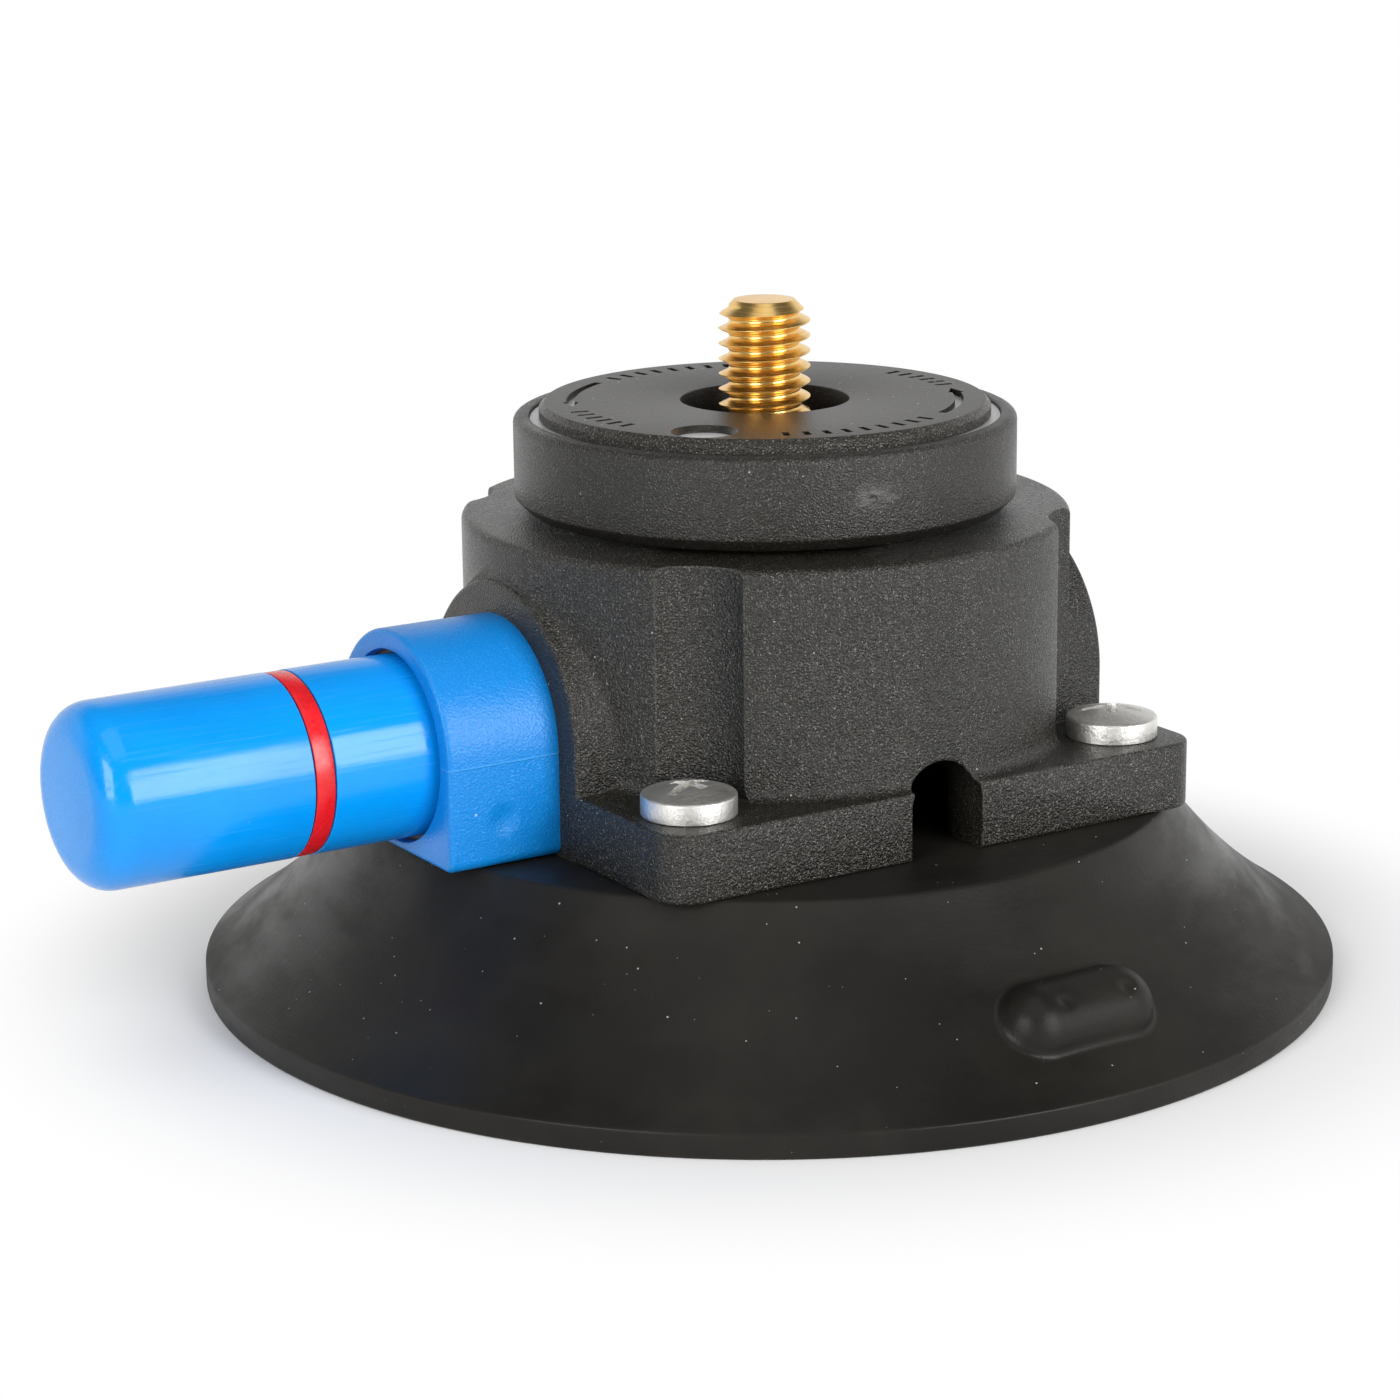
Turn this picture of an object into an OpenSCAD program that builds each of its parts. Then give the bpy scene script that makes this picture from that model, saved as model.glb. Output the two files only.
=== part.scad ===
// Pump-action suction cup with a threaded stud on a turning knob.
// +Z points up along the stud, the plunger slides along X, and z = 0 is the face that grips the glass.

/* [Suction pad] */
// Outer radius of the rubber rim
rim_r = 60.2; // [57:0.1:64]
// Height of the pad's flat top
pad_h = 19.5; // [18.5:0.1:22]
// Radius of the pad's flat top
top_r = 42.3; // [40:0.1:44]
// Height of the upright edge of the rim
lip_h = 2.5; // [1.5:0.1:3.5]
// How far the skirt dips under a straight slope
skirt_dip = 1.3; // [0.4:0.1:1.8]
// Width of the flat ring that touches the glass
seal_w = 3.8; // [2.5:0.1:5]
// Height of the ceiling inside the cup
ceiling_h = 9; // [7:0.1:9.4]
// Radius of the ceiling inside the cup
ceiling_r = 44; // [42:0.1:46]
// Height of the two rings moulded under the ceiling
ceiling_rib_h = 1; // [0.6:0.1:1.4]

/* [Release nub] */
// Radius of the moulded nub that lifts the rim
nub_r = 4.2; // [3.6:0.1:4.8]
// Whole length of the nub
nub_len = 17.8; // [14:0.1:20]
// How far the nub stands out of the skirt
nub_proud = 3; // [2:0.1:3.6]
// Distance of the nub from the cup's axis
nub_out = 53; // [51:0.1:54]
// Bearing of the nub round the cup
nub_turn = -88; // [-95:1:-85]

/* [Steel insert] */
// Rubber round the steel plate's edge, under the edge of the flat top
plate_edge = 0.3; // [0.1:0.05:1]
// Thickness of the steel plate
plate_t = 3; // [2.4:0.1:3.4]
// Rubber above the steel plate
plate_cover = 2; // [1.5:0.1:2.4]
// Radius of each nut welded under the plate
nut_r = 4.4; // [3.8:0.1:4.6]
// Height of each nut welded under the plate
nut_h = 3.2; // [2.6:0.1:3.6]

/* [Air way] */
// Distance of the air way from the cup's axis
port_x = 21.8; // [21.4:0.1:22.2]
// Radius of the port up into the pump barrel
port_r = 1.5; // [1.2:0.1:1.8]
// Radius of the foam filter
filter_r = 8; // [7:0.1:9]
// Thickness of the foam filter
filter_t = 2.2; // [1.6:0.1:2.6]
// Thickness of the filter screen
screen_t = 0.6; // [0.4:0.1:0.8]
// Radius of one hole in the filter screen
screen_hole_r = 0.65; // [0.4:0.05:0.8]
// Radius of the rubber way above the filter
way_r = 3.4; // [3:0.1:3.8]
// Outer radius of the ring that seals the port
port_seal_r = 6.2; // [5.8:0.1:6.8]
// Wall of the ring that seals the port
port_seal_w = 1.4; // [1.1:0.1:1.6]

/* [Check valves] */
// Radius of the intake valve's rubber dome
intake_dome_r = 3.7; // [3.4:0.1:4]
// Radius of the exhaust valve's rubber dome
exhaust_dome_r = 4.2; // [3.8:0.1:4.6]
// Radius of each valve's stem
stem_r = 0.9; // [0.8:0.05:1]
// Thickness of each valve's dome
dome_t = 0.9; // [0.7:0.1:1.1]
// Radius of one flow hole under a dome
flow_hole_r = 0.6; // [0.5:0.05:0.7]

/* [Housing] */
// Half width of the flange along X
flange_x = 32.2; // [32:0.1:34]
// Half width of the flange along Y
flange_y = 33; // [32.6:0.1:34.5]
// Thickness of the flange
flange_t = 6.95; // [6:0.05:8]
// Radius of the flange's upright corners
flange_corner = 3.6; // [2:0.1:5]
// Radius of the round body
body_r = 31.8; // [31.4:0.1:32.6]
// Radius of the body's upper edge
body_edge = 1.1; // [0.6:0.1:1.6]
// Radius of the hollow between body and flange
body_fillet = 1.3; // [0.8:0.1:1.8]
// Thickness of the housing's roof
roof_t = 3.4; // [2.8:0.1:4]
// Thickness of the body's outer wall behind the scallops
wall_t = 2.4; // [2:0.1:3]
// Thickness of the ribs inside the housing
rib_t = 1.6; // [1.2:0.1:2.2]
// Radius of the two pump bosses, which stand on the flange with upright sides
boss_r = 15.2; // [14.2:0.1:15.8]
// Distance from the cup's axis to a boss's end face
boss_reach = 33; // [32.4:0.1:34]
// Length of the stud's bearing in the roof
bearing_len = 6; // [5:0.1:8]
// Half width of the arched vent in the flange
vent_half_w = 4.3; // [3.6:0.1:5]
// Height of the arched vent
vent_h = 9.5; // [8.4:0.1:10]

/* [Flange screws] */
// Distance of the screws from the middle along X
screw_x = 25.9; // [25.5:0.1:26.2]
// Distance of the screws from the middle along Y
screw_y = 26; // [25.6:0.1:26.4]
// Radius of the screw thread
screw_r = 2.45; // [2:0.05:2.6]
// Radius of the pan head
head_r = 4.75; // [4.3:0.05:5.2]
// Height of the pan head
head_h = 3.1; // [2.6:0.1:3.7]
// Room for a driver round a pan head
driver_room = 2.1; // [1.7:0.1:2.5]

/* [Pump barrel] */
// Radius of the bore that the piston runs in
bore_r = 9.55; // [9.4:0.05:9.8]
// Wall of the barrel round the bore
barrel_wall = 1.05; // [0.9:0.05:1.3]
// Gap between the barrel's flat underside and the pad
barrel_lift = 0.1; // [0:0.05:0.2]
// Radius of the collar outside the housing
collar_r = 11.84; // [11.4:0.02:12.6]
// Length of the collar
collar_w = 11.6; // [9:0.1:13]
// Step round the collar's front edge
collar_edge = 0.5; // [0.3:0.1:0.8]
// Radius of the collar's two lower corners
collar_corner = 1.2; // [0.6:0.1:2]
// Distance from the cup's axis to the chamber's end
chamber_x = 24.5; // [24.2:0.1:25]
// Thickness of the barrel's end wall
end_wall_t = 2.8; // [2.2:0.1:3.2]
// Radius of the post that centres the spring
post_r = 4.7; // [4.3:0.05:4.8]
// Length of the post that centres the spring
post_len = 2; // [1:0.1:2.4]
// Depth of the collar's mouth
mouth_depth = 3.4; // [3:0.1:4]
// Width of the mouth round the plunger
mouth_w = 0.5; // [0.4:0.05:0.7]
// Length of the wiper at the back of the mouth
wiper_len = 2.2; // [1.6:0.1:2.8]
// Depth of the wiper's groove, from the plunger outwards
wiper_w = 0.95; // [0.8:0.05:1.2]

/* [End cap] */
// Thickness of the end cap's disc
cap_t = 2.5; // [2:0.1:3]
// How far the cap's disc reaches past the barrel
cap_rim = 1.4; // [1:0.1:2]
// Distance of the cap screws from the pump's axis
cap_screw_y = 7.4; // [7:0.1:7.8]
// Radius of a cap screw's thread
cap_screw_r = 1.1; // [0.9:0.05:1.3]
// Radius of a cap screw's head
cap_head_r = 2; // [1.7:0.1:2.2]
// Length of one vent slot in the cap
slot_len = 7; // [5:0.1:8]
// Width of one vent slot in the cap
slot_w = 1.3; // [0.9:0.1:1.7]

/* [Plunger] */
// Radius of the plunger
plunger_r = 9.26; // [9:0.01:9.3]
// Distance the plunger stands out of the collar
plunger_out = 34.9; // [33:0.1:38]
// Distance the plunger travels
stroke = 30; // [26:0.1:30.2]
// Radius of the plunger's outer edge
plunger_edge = 3.4; // [2:0.1:4.2]
// Radius of the plunger's bore
plunger_bore = 6.9; // [6.6:0.05:7.1]
// Thickness of the plunger's closed end
plunger_end_t = 3.5; // [2.6:0.1:4.5]
// Radius of the neck behind the piston seal
neck_r = 8.1; // [7.9:0.05:8.3]
// Length of the piston head
piston_len = 4.6; // [3.6:0.1:5]
// Length of the piston seal
piston_seal_len = 3.4; // [2.6:0.1:4]
// Distance from the collar's face to the vacuum line
line_out = 10.8; // [8:0.1:14]
// Width of the vacuum line
line_w = 2.3; // [1.5:0.1:3]
// Depth of the groove under the vacuum line
line_depth = 0.5; // [0.3:0.05:0.7]

/* [Pump spring] */
// Thickness of the spring wire
wire_d = 1.1; // [0.9:0.05:1.2]
// Radius of the spring at the middle of the wire
coil_r = 5.6; // [5.5:0.05:5.8]
// Number of turns of the spring
turns = 20; // [14:1:24]
// Rise of a closed turn at each end of the spring
end_pitch = 1.7; // [1.6:0.05:1.8]

/* [Knob] */
// Radius of the knob
knob_r = 26.2; // [25.8:0.1:28]
// Height of the knob's ring
knob_h = 9.55; // [9:0.05:11]
// Gap between the housing's roof and the knob
knob_gap = 0.5; // [0.5:0.05:0.9]
// Width of the ring's rim round the clamp plate
knob_rim = 1.7; // [1.4:0.1:2.2]
// Bevel round the ring's lower edge
knob_bevel = 1.2; // [0.6:0.1:1.6]
// Radius of the ring's upper edge
knob_edge = 0.7; // [0.4:0.1:1]
// Radius of the knob's hub
hub_r = 12; // [11:0.1:13]
// Thickness of the knob's web
web_t = 3.1; // [2.6:0.1:3.4]
// Thickness of the knob's wall and ribs
knob_wall = 3.7; // [3:0.1:4.4]
// Number of ribs under the knob's web
knob_ribs = 6; // [3:1:8]

/* [Clamp plate and disc] */
// Thickness of the clamp plate
clamp_t = 2; // [1.6:0.1:2.4]
// How far the clamp plate lies below the top of the knob's ring
clamp_sink = 0.4; // [0.2:0.1:0.8]
// How far the cover disc stands above the knob's ring
disc_proud = 1.25; // [1:0.05:1.6]
// Radius of the cover disc
disc_r = 23.5; // [23.2:0.1:23.8]
// Bevel round the cover disc
disc_bevel = 0.6; // [0.3:0.1:0.8]
// Thickness of the disc over the raised middle of the clamp plate
disc_skin = 0.65; // [0.5:0.05:0.9]
// Width of the disc's rim round that raised middle
disc_rim_w = 1.6; // [1.2:0.1:2]
// Radius of the hole in the middle of the disc
disc_hole_r = 8.8; // [8:0.1:9.4]
// Wall of the collar round that hole
disc_collar_w = 2.6; // [1.8:0.1:3]
// Distance of the clamp screws from the axis
clamp_screw_out = 16; // [15.4:0.1:16.4]
// Radius of the bevelled sight hole in the disc's skin
sight_r = 2.9; // [2.4:0.1:3.2]
// Bevel round the sight hole
sight_bevel = 0.5; // [0.2:0.1:0.5]
// Distance of the sight hole from the axis
sight_out = 19.4; // [18.8:0.1:19.8]
// Bearing of the sight hole
sight_turn = -141; // [-145:1:-137]
// Radius of the arrows' middle line
arrow_out = 20.2; // [19.6:0.1:20.6]
// Width of an arrow's shaft
arrow_w = 0.9; // [0.6:0.1:1.2]
// Width of an arrow's head
arrow_head_w = 1.7; // [1.6:0.1:3]
// Length of an arrow's head
arrow_head_len = 2.6; // [1.6:0.1:3]
// Bearings of the ends of the front arrow's shaft
front_arrow = [-60, -26];
// Bearings of the ends of the rear arrow's shaft
rear_arrow = [118, 152];

/* [Stud] */
// Radius of the stud over its thread
stud_r = 4.7625; // [4.6:0.0025:4.9]
// Height of the stud above the disc
stud_out = 10.35; // [8:0.05:16]
// Bevel at the stud's tip
stud_bevel = 1.6; // [1:0.1:2]
// Width across the flats of the hexagon inside the knob
hex_w = 15; // [14:0.1:16]
// Height of the hexagon inside the knob
hex_h = 2.6; // [2:0.1:3]
// Radius of the stud's journal in the roof
journal_r = 5; // [4.9:0.05:5.3]
// Thickness of the retaining clip
clip_t = 0.6; // [0.5:0.05:0.8]
// Radius of the groove under the clip
groove_r = 3.9; // [3.6:0.05:4.2]

/* [Hidden] */
$fn = 96;
eps = 0.01;
far = 100;
fit_gap = 0.05;     // between pieces that are fixed to each other
slide_gap = 0.08;   // between a shaft and the bore it runs in
free_gap = 0.3;     // between moving pieces that must not touch

// Heights, from the glass upwards
plate_top = pad_h - plate_cover;
plate_low = plate_top - plate_t;
nut_low = plate_low - nut_h;
filter_top = ceiling_h + screen_t + filter_t + free_gap;
barrel_low = pad_h + barrel_lift;
pump_z = barrel_low + barrel_wall + bore_r;
barrel_r = bore_r + barrel_wall;
channel_r = barrel_r + fit_gap;
flange_top = pad_h + flange_t;
stud_low = pump_z + barrel_r + free_gap + 0.2;
clip_low = stud_low + clip_t;
washer_low = clip_low + clip_t;
washer_t = 0.7;
bearing_low = washer_low + washer_t + free_gap;
body_top = bearing_low + bearing_len;
knob_low = body_top + knob_gap;
knob_top = knob_low + knob_h;
thrust_t = knob_gap - fit_gap;
hub_low = body_top + thrust_t + free_gap;
clamp_top = knob_top - clamp_sink;
clamp_low = clamp_top - clamp_t;
web_low = clamp_low - web_t;
disc_low = clamp_top + fit_gap;
disc_top = knob_top + disc_proud;
disc_t = disc_top - disc_low;
skin_low = disc_top - disc_skin;
raised_top = skin_low - fit_gap;
screw_sink = 1.2;
hex_top = web_low - 0.5;
hex_low = hex_top - hex_h;
stud_top = disc_top + stud_out;
thread_low = disc_top + 0.4;

// Radii that follow from what sits next to them
plate_r = top_r - plate_edge;
pocket_r = norm([screw_x, screw_y]) - head_r - driver_room - wall_t;
channel_wall_y = channel_r + wall_t;
knob_bowl_r = knob_r - knob_rim;
clamp_r = knob_bowl_r - fit_gap;
disc_collar_r = disc_hole_r + disc_collar_w;
shank_r = stud_r - 0.16;
guide_r = plunger_r + slide_gap;
piston_r = bore_r - slide_gap;

// Places along the pump, from the plunger's tip inwards
collar_x = -boss_reach - collar_w;
tip_x = collar_x - plunger_out;
line_x = collar_x - line_out - line_w;
barrel_end_x = chamber_x + end_wall_t;
cap_in_x = boss_reach - cap_t;
travel_room = 4;
plunger_in_x = chamber_x - travel_room - stroke;
head_x = plunger_in_x - piston_len;
seal_x = head_x - piston_seal_len - 0.2;
neck_x = seal_x - 0.3;
stop_x = neck_x - free_gap;

// ---- shared shapes ----

// Puts a shape that is drawn along Z onto the pump's axis, starting at x
module on_pump(x) {
    translate([x, 0, pump_z]) rotate([90, 0, 90]) children();
}

// Ring or disc that runs from radius r_in to r_out
module ring(r_out, r_in, h) {
    difference() {
        cylinder(r = r_out, h = h);
        if (r_in > 0) translate([0, 0, -eps]) cylinder(r = r_in, h = h + 2 * eps);
    }
}

module at_screws() {
    for (sx = [-1, 1], sy = [-1, 1]) translate([sx * screw_x, sy * screw_y, 0]) children();
}

// Copies a shape to places round the Z axis
module round_z(n, out, first = 0) {
    for (i = [0 : n - 1]) rotate(first + i * 360 / n) translate([out, 0, 0]) children();
}

// Round above, upright at the sides and flat below: the outline of the barrel and its channel
module d_outline(r, flat_z, corner = 0) {
    low = flat_z - pump_z;
    intersection() {
        union() {
            circle(r);
            translate([-r, low + corner]) square([2 * r, -low - corner]);
            if (corner > 0) {
                translate([corner - r, low]) square([2 * (r - corner), 2 * corner]);
                for (s = [-1, 1]) translate([s * (r - corner), low + corner]) circle(corner, $fn = 48);
            }
        }
        translate([-r, low]) square([2 * r, r - low]);
    }
}

module rounded_rect(half_x, half_y, corner) {
    square([2 * (half_x - corner), 2 * half_y], center = true);
    square([2 * half_x, 2 * (half_y - corner)], center = true);
    for (sx = [-1, 1], sy = [-1, 1])
        translate([sx * (half_x - corner), sy * (half_y - corner)]) circle(corner);
}

// Mushroom-shaped check valve, seated at z = 0 with its stem through the wall below
module umbrella_valve(dome_r, wall) {
    bulb_r = stem_r + 0.45;
    edge_t = dome_t * 0.4;
    rotate_extrude() polygon([
        [0, dome_t], [dome_r * 0.55, dome_t], [dome_r, edge_t], [dome_r, 0],
        [stem_r, 0], [stem_r, -wall - 0.05], [bulb_r, -wall - 0.05],
        [bulb_r, -wall - 0.5], [stem_r * 0.6, -wall - 1.2], [0, -wall - 1.2]
    ]);
}

// The holes that an umbrella valve covers, cut through a wall that ends at z = 0
module valve_holes(dome_r, wall) {
    translate([0, 0, -wall - eps]) {
        cylinder(r = stem_r + fit_gap, h = wall + 2 * eps);
        round_z(4, dome_r * 0.62, 45) cylinder(r = flow_hole_r, h = wall + 2 * eps);
    }
}

// ---- suction pad ----

// Points of the skirt, a shallow hollow arc from the flat top down to the rim
skirt_run = [rim_r - top_r, lip_h - pad_h];
skirt_side = [skirt_run[1], -skirt_run[0]] / norm(skirt_run);
skirt_steps = 14;
function skirt_at(t) = [top_r, pad_h] + skirt_run * t + skirt_side * 4 * skirt_dip * t * (1 - t);

nub_t = (nub_out - top_r) / (rim_r - top_r);
nub_sink = nub_r - nub_proud;

module pad_outside() {
    rotate_extrude() polygon(concat(
        [[0, 0], [0, pad_h]],
        [for (i = [0 : skirt_steps]) skirt_at(i / skirt_steps)],
        [[rim_r, 0]]
    ));
}

module pad_hollow() {
    seal_in = rim_r - seal_w;
    difference() {
        rotate_extrude() polygon([
            [0, -1], [seal_in, -1], [seal_in, 0], [ceiling_r, ceiling_h], [0, ceiling_h]
        ]);
        for (r = [0.72, 0.9]) ring_rib(r * ceiling_r);
    }
}

module ring_rib(r) {
    rotate_extrude() translate([r, ceiling_h]) circle(ceiling_rib_h, $fn = 32);
}

module release_nub() {
    half = nub_len / 2 - nub_r;
    foot = skirt_at(nub_t) + skirt_side * nub_sink;
    rotate(nub_turn) translate([foot[0], 0, foot[1]]) {
        rotate([90, 0, 0]) cylinder(r = nub_r, h = 2 * half, center = true);
        for (s = [-1, 1]) translate([0, s * half, 0]) sphere(nub_r);
    }
}

module vacuum_pad() {
    color([0.15, 0.145, 0.14])
    difference() {
        union() {
            pad_outside();
            release_nub();
        }
        pad_hollow();
        translate([0, 0, plate_low]) cylinder(r = plate_r, h = plate_t);
        at_screws() {
            translate([0, 0, nut_low - fit_gap]) cylinder(r = nut_r + fit_gap, h = nut_h + fit_gap + eps);
            translate([0, 0, nut_low]) cylinder(r = screw_r + free_gap, h = far);
        }
        translate([port_x, 0, 0]) {
            translate([0, 0, ceiling_h - 1]) cylinder(r = filter_r + fit_gap, h = filter_top - ceiling_h + 1);
            translate([0, 0, ceiling_h]) cylinder(r = way_r, h = plate_low - ceiling_h + eps);
            translate([0, 0, plate_top - eps]) cylinder(r = port_seal_r + fit_gap, h = plate_cover + 1);
        }
    }
}

module insert_plate() {
    color([0.62, 0.63, 0.65])
    difference() {
        translate([0, 0, plate_low]) cylinder(r = plate_r, h = plate_t);
        at_screws() translate([0, 0, plate_low - eps])
            cylinder(r = screw_r + fit_gap, h = plate_t + 2 * eps);
        translate([port_x, 0, plate_top]) valve_holes(intake_dome_r, plate_t);
    }
}

module weld_nuts() {
    color([0.66, 0.66, 0.68])
    at_screws() translate([0, 0, nut_low]) ring(nut_r, screw_r + fit_gap, nut_h);
}

// ---- air way ----

module filter_screen() {
    color([0.75, 0.76, 0.78])
    difference() {
        translate([port_x, 0, ceiling_h]) cylinder(r = filter_r, h = screen_t);
        translate([port_x, 0, ceiling_h - eps]) {
            for (row = [1 : 3])
                round_z(6 * row, row * filter_r * 0.27) cylinder(r = screen_hole_r, h = screen_t + 2 * eps);
            cylinder(r = screen_hole_r, h = screen_t + 2 * eps);
        }
    }
}

module foam_filter() {
    color([0.3, 0.3, 0.32])
    translate([port_x, 0, ceiling_h + screen_t]) cylinder(r = filter_r - 0.2, h = filter_t);
}

module intake_valve() {
    color([0.8, 0.35, 0.2])
    translate([port_x, 0, plate_top]) umbrella_valve(intake_dome_r, plate_t);
}

module port_seal() {
    color([0.12, 0.12, 0.12])
    translate([port_x, 0, plate_top])
        ring(port_seal_r, port_seal_r - port_seal_w, plate_cover + barrel_lift);
}

// ---- housing ----

module flange_outline() {
    rounded_rect(flange_x, flange_y, flange_corner);
}

module body_profile() {
    difference() {
        union() {
            square([body_r, body_top - pad_h - body_edge]);
            square([body_r - body_edge, body_top - pad_h]);
            translate([body_r - body_edge, body_top - pad_h - body_edge]) circle(body_edge, $fn = 48);
            square([body_r + body_fillet, flange_t + body_fillet]);
        }
        translate([body_r + body_fillet, flange_t + body_fillet]) circle(body_fillet, $fn = 48);
    }
}

module housing_outside() {
    translate([0, 0, pad_h]) {
        linear_extrude(flange_t) flange_outline();
        intersection() {
            rotate_extrude() body_profile();
            linear_extrude(body_top - pad_h) flange_outline();
        }
    }
    on_pump(-boss_reach) linear_extrude(2 * boss_reach) d_outline(boss_r, pad_h);
}

// Two D-shaped pockets, one each side of the barrel's channel, crossed by ribs
module housing_pockets() {
    rib_x = pocket_r * 0.4;
    translate([0, 0, pad_h - eps]) linear_extrude(body_top - roof_t - pad_h + eps)
        difference() {
            circle(pocket_r);
            square([2 * far, 2 * channel_wall_y], center = true);
            for (s = [-1, 1]) translate([s * rib_x, 0]) square([rib_t, 2 * far], center = true);
        }
    translate([0, 0, pad_h - eps]) linear_extrude(flange_t / 2)
        difference() {
            circle(pocket_r);
            square([2 * far, 2 * channel_wall_y], center = true);
        }
}

module barrel_channel() {
    on_pump(-boss_reach - eps)
        linear_extrude(cap_in_x + boss_reach + 2 * eps) d_outline(channel_r, pad_h - 1);
    on_pump(cap_in_x)
        linear_extrude(cap_t + 1) d_outline(channel_r + cap_rim, pad_h - 1);
}

module vent_arch() {
    translate([0, 0, pad_h - eps]) rotate([90, 0, 0]) linear_extrude(flange_y + 1) {
        translate([0, vent_h - vent_half_w]) circle(vent_half_w);
        translate([-vent_half_w, 0]) square([2 * vent_half_w, vent_h - vent_half_w]);
    }
}

module pump_housing() {
    color([0.17, 0.165, 0.16])
    difference() {
        housing_outside();
        housing_pockets();
        barrel_channel();
        at_screws() {
            translate([0, 0, pad_h - eps]) cylinder(r = screw_r + free_gap, h = flange_t + 2 * eps);
            translate([0, 0, flange_top]) cylinder(r = head_r + driver_room, h = body_top);
        }
        intersection() {
            vent_arch();
            translate([-far, -far, 0]) cube([2 * far, far - channel_wall_y, far]);
        }
        translate([0, 0, pump_z]) {
            cylinder(r = journal_r + 3, h = bearing_low - pump_z);
            cylinder(r = journal_r + fit_gap, h = far);
        }
    }
}

module flange_screws() {
    color([0.78, 0.79, 0.8])
    at_screws() {
        translate([0, 0, nut_low + 0.4]) cylinder(r = screw_r, h = flange_top - nut_low);
        translate([0, 0, flange_top]) pan_head(head_r, head_h);
    }
}

// Pan head: an upright edge, a shoulder that slopes in and a flat top
module pan_head(r, h) {
    rotate_extrude() polygon([
        [0, 0], [r, 0], [r, h * 0.44], [r * 0.96, h * 0.54], [r * 0.84, h * 0.7],
        [r * 0.68, h * 0.86], [r * 0.5, h * 0.97], [r * 0.4, h], [0, h]
    ]);
}

// ---- pump barrel ----

// Outside of the collar, with a small step round its front edge
module collar_outside() {
    on_pump(collar_x) {
        linear_extrude(collar_edge)
            d_outline(collar_r - collar_edge, barrel_low + collar_edge, collar_corner);
        translate([0, 0, collar_edge])
            linear_extrude(collar_w - collar_edge) d_outline(collar_r, barrel_low, collar_corner);
    }
}

module pump_barrel() {
    color([0.12, 0.5, 0.86])
    difference() {
        union() {
            collar_outside();
            on_pump(-boss_reach) linear_extrude(barrel_end_x + boss_reach) d_outline(barrel_r, barrel_low);
        }
        on_pump(collar_x - eps) {
            cylinder(r = plunger_r + mouth_w, h = mouth_depth + eps);
            cylinder(r = guide_r, h = stop_x - collar_x + 1);
            translate([0, 0, mouth_depth - wiper_len]) cylinder(r = plunger_r + wiper_w, h = wiper_len);
        }
        difference() {
            on_pump(stop_x) cylinder(r = bore_r, h = chamber_x - stop_x);
            on_pump(chamber_x - post_len) cylinder(r = post_r, h = post_len + 1);
        }
        on_pump(barrel_end_x) {
            valve_holes(exhaust_dome_r, end_wall_t + post_len);
            for (s = [-1, 1]) translate([s * cap_screw_y, 0, -end_wall_t + 0.4])
                cylinder(r = cap_screw_r, h = end_wall_t);
        }
        translate([port_x, 0, barrel_low - 1]) cylinder(r = port_r, h = barrel_wall + bore_r / 2);
    }
}

module wiper_ring() {
    color([0.1, 0.1, 0.11])
    on_pump(collar_x + mouth_depth - wiper_len + fit_gap)
        ring(plunger_r + wiper_w - fit_gap, plunger_r + fit_gap, wiper_len - 2 * fit_gap);
}

module exhaust_valve() {
    color([0.8, 0.35, 0.2])
    on_pump(barrel_end_x) umbrella_valve(exhaust_dome_r, end_wall_t + post_len);
}

module end_cap() {
    cap_r = channel_r + cap_rim - fit_gap;
    skirt_h = cap_in_x - barrel_end_x;
    head_depth = 1.4;
    color([0.15, 0.145, 0.14])
    difference() {
        union() {
            on_pump(cap_in_x) linear_extrude(cap_t) d_outline(cap_r, barrel_low);
            on_pump(barrel_end_x) ring(barrel_r, barrel_r - 1.2, skirt_h);
            for (s = [-1, 1]) on_pump(barrel_end_x)
                translate([s * cap_screw_y, 0, 0]) cylinder(r = cap_screw_r + 1.1, h = skirt_h);
        }
        for (s = [-1, 1]) on_pump(boss_reach) translate([s * cap_screw_y, 0, 0]) {
            translate([0, 0, -head_depth]) cylinder(r = cap_head_r + 0.1, h = head_depth + 1);
            translate([0, 0, -cap_t - skirt_h - 1]) cylinder(r = cap_screw_r + fit_gap, h = cap_t + skirt_h + 1);
        }
        for (i = [-1 : 1]) on_pump(cap_in_x - 1) translate([-slot_len / 2, i * 2.2 * slot_w - slot_w / 2, 0])
            cube([slot_len, slot_w, cap_t + 2]);
    }
}

module cap_screws() {
    seat = boss_reach - 1.4;
    color([0.7, 0.7, 0.72])
    for (s = [-1, 1]) on_pump(seat) translate([s * cap_screw_y, 0, 0]) {
        pan_head(cap_head_r, 1.2);
        translate([0, 0, barrel_end_x - end_wall_t + 0.5 - seat])
            cylinder(r = cap_screw_r, h = seat - barrel_end_x + end_wall_t - 0.5);
    }
}

// ---- plunger ----

// Profile along the pump's axis: x is the radius, y the distance from the tip
module plunger_profile() {
    seat = neck_x - tip_x;
    difference() {
        union() {
            translate([0, plunger_edge]) square([plunger_r, seat - plunger_edge]);
            square([plunger_r - plunger_edge, plunger_edge]);
            intersection() {
                translate([plunger_r - plunger_edge, plunger_edge]) circle(plunger_edge);
                square([plunger_r, plunger_edge]);
            }
            square([neck_r, plunger_in_x - tip_x]);
        }
        translate([plunger_r - line_depth, line_x - tip_x]) square([line_depth + 1, line_w]);
        translate([0, plunger_end_t]) square([plunger_bore, plunger_in_x - tip_x]);
    }
}

module plunger() {
    color([0.0, 0.55, 0.93])
    on_pump(tip_x) rotate_extrude() plunger_profile();
}

module vacuum_line() {
    color([0.85, 0.1, 0.14])
    on_pump(line_x) ring(plunger_r - 0.03, plunger_r - line_depth, line_w);
}

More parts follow.
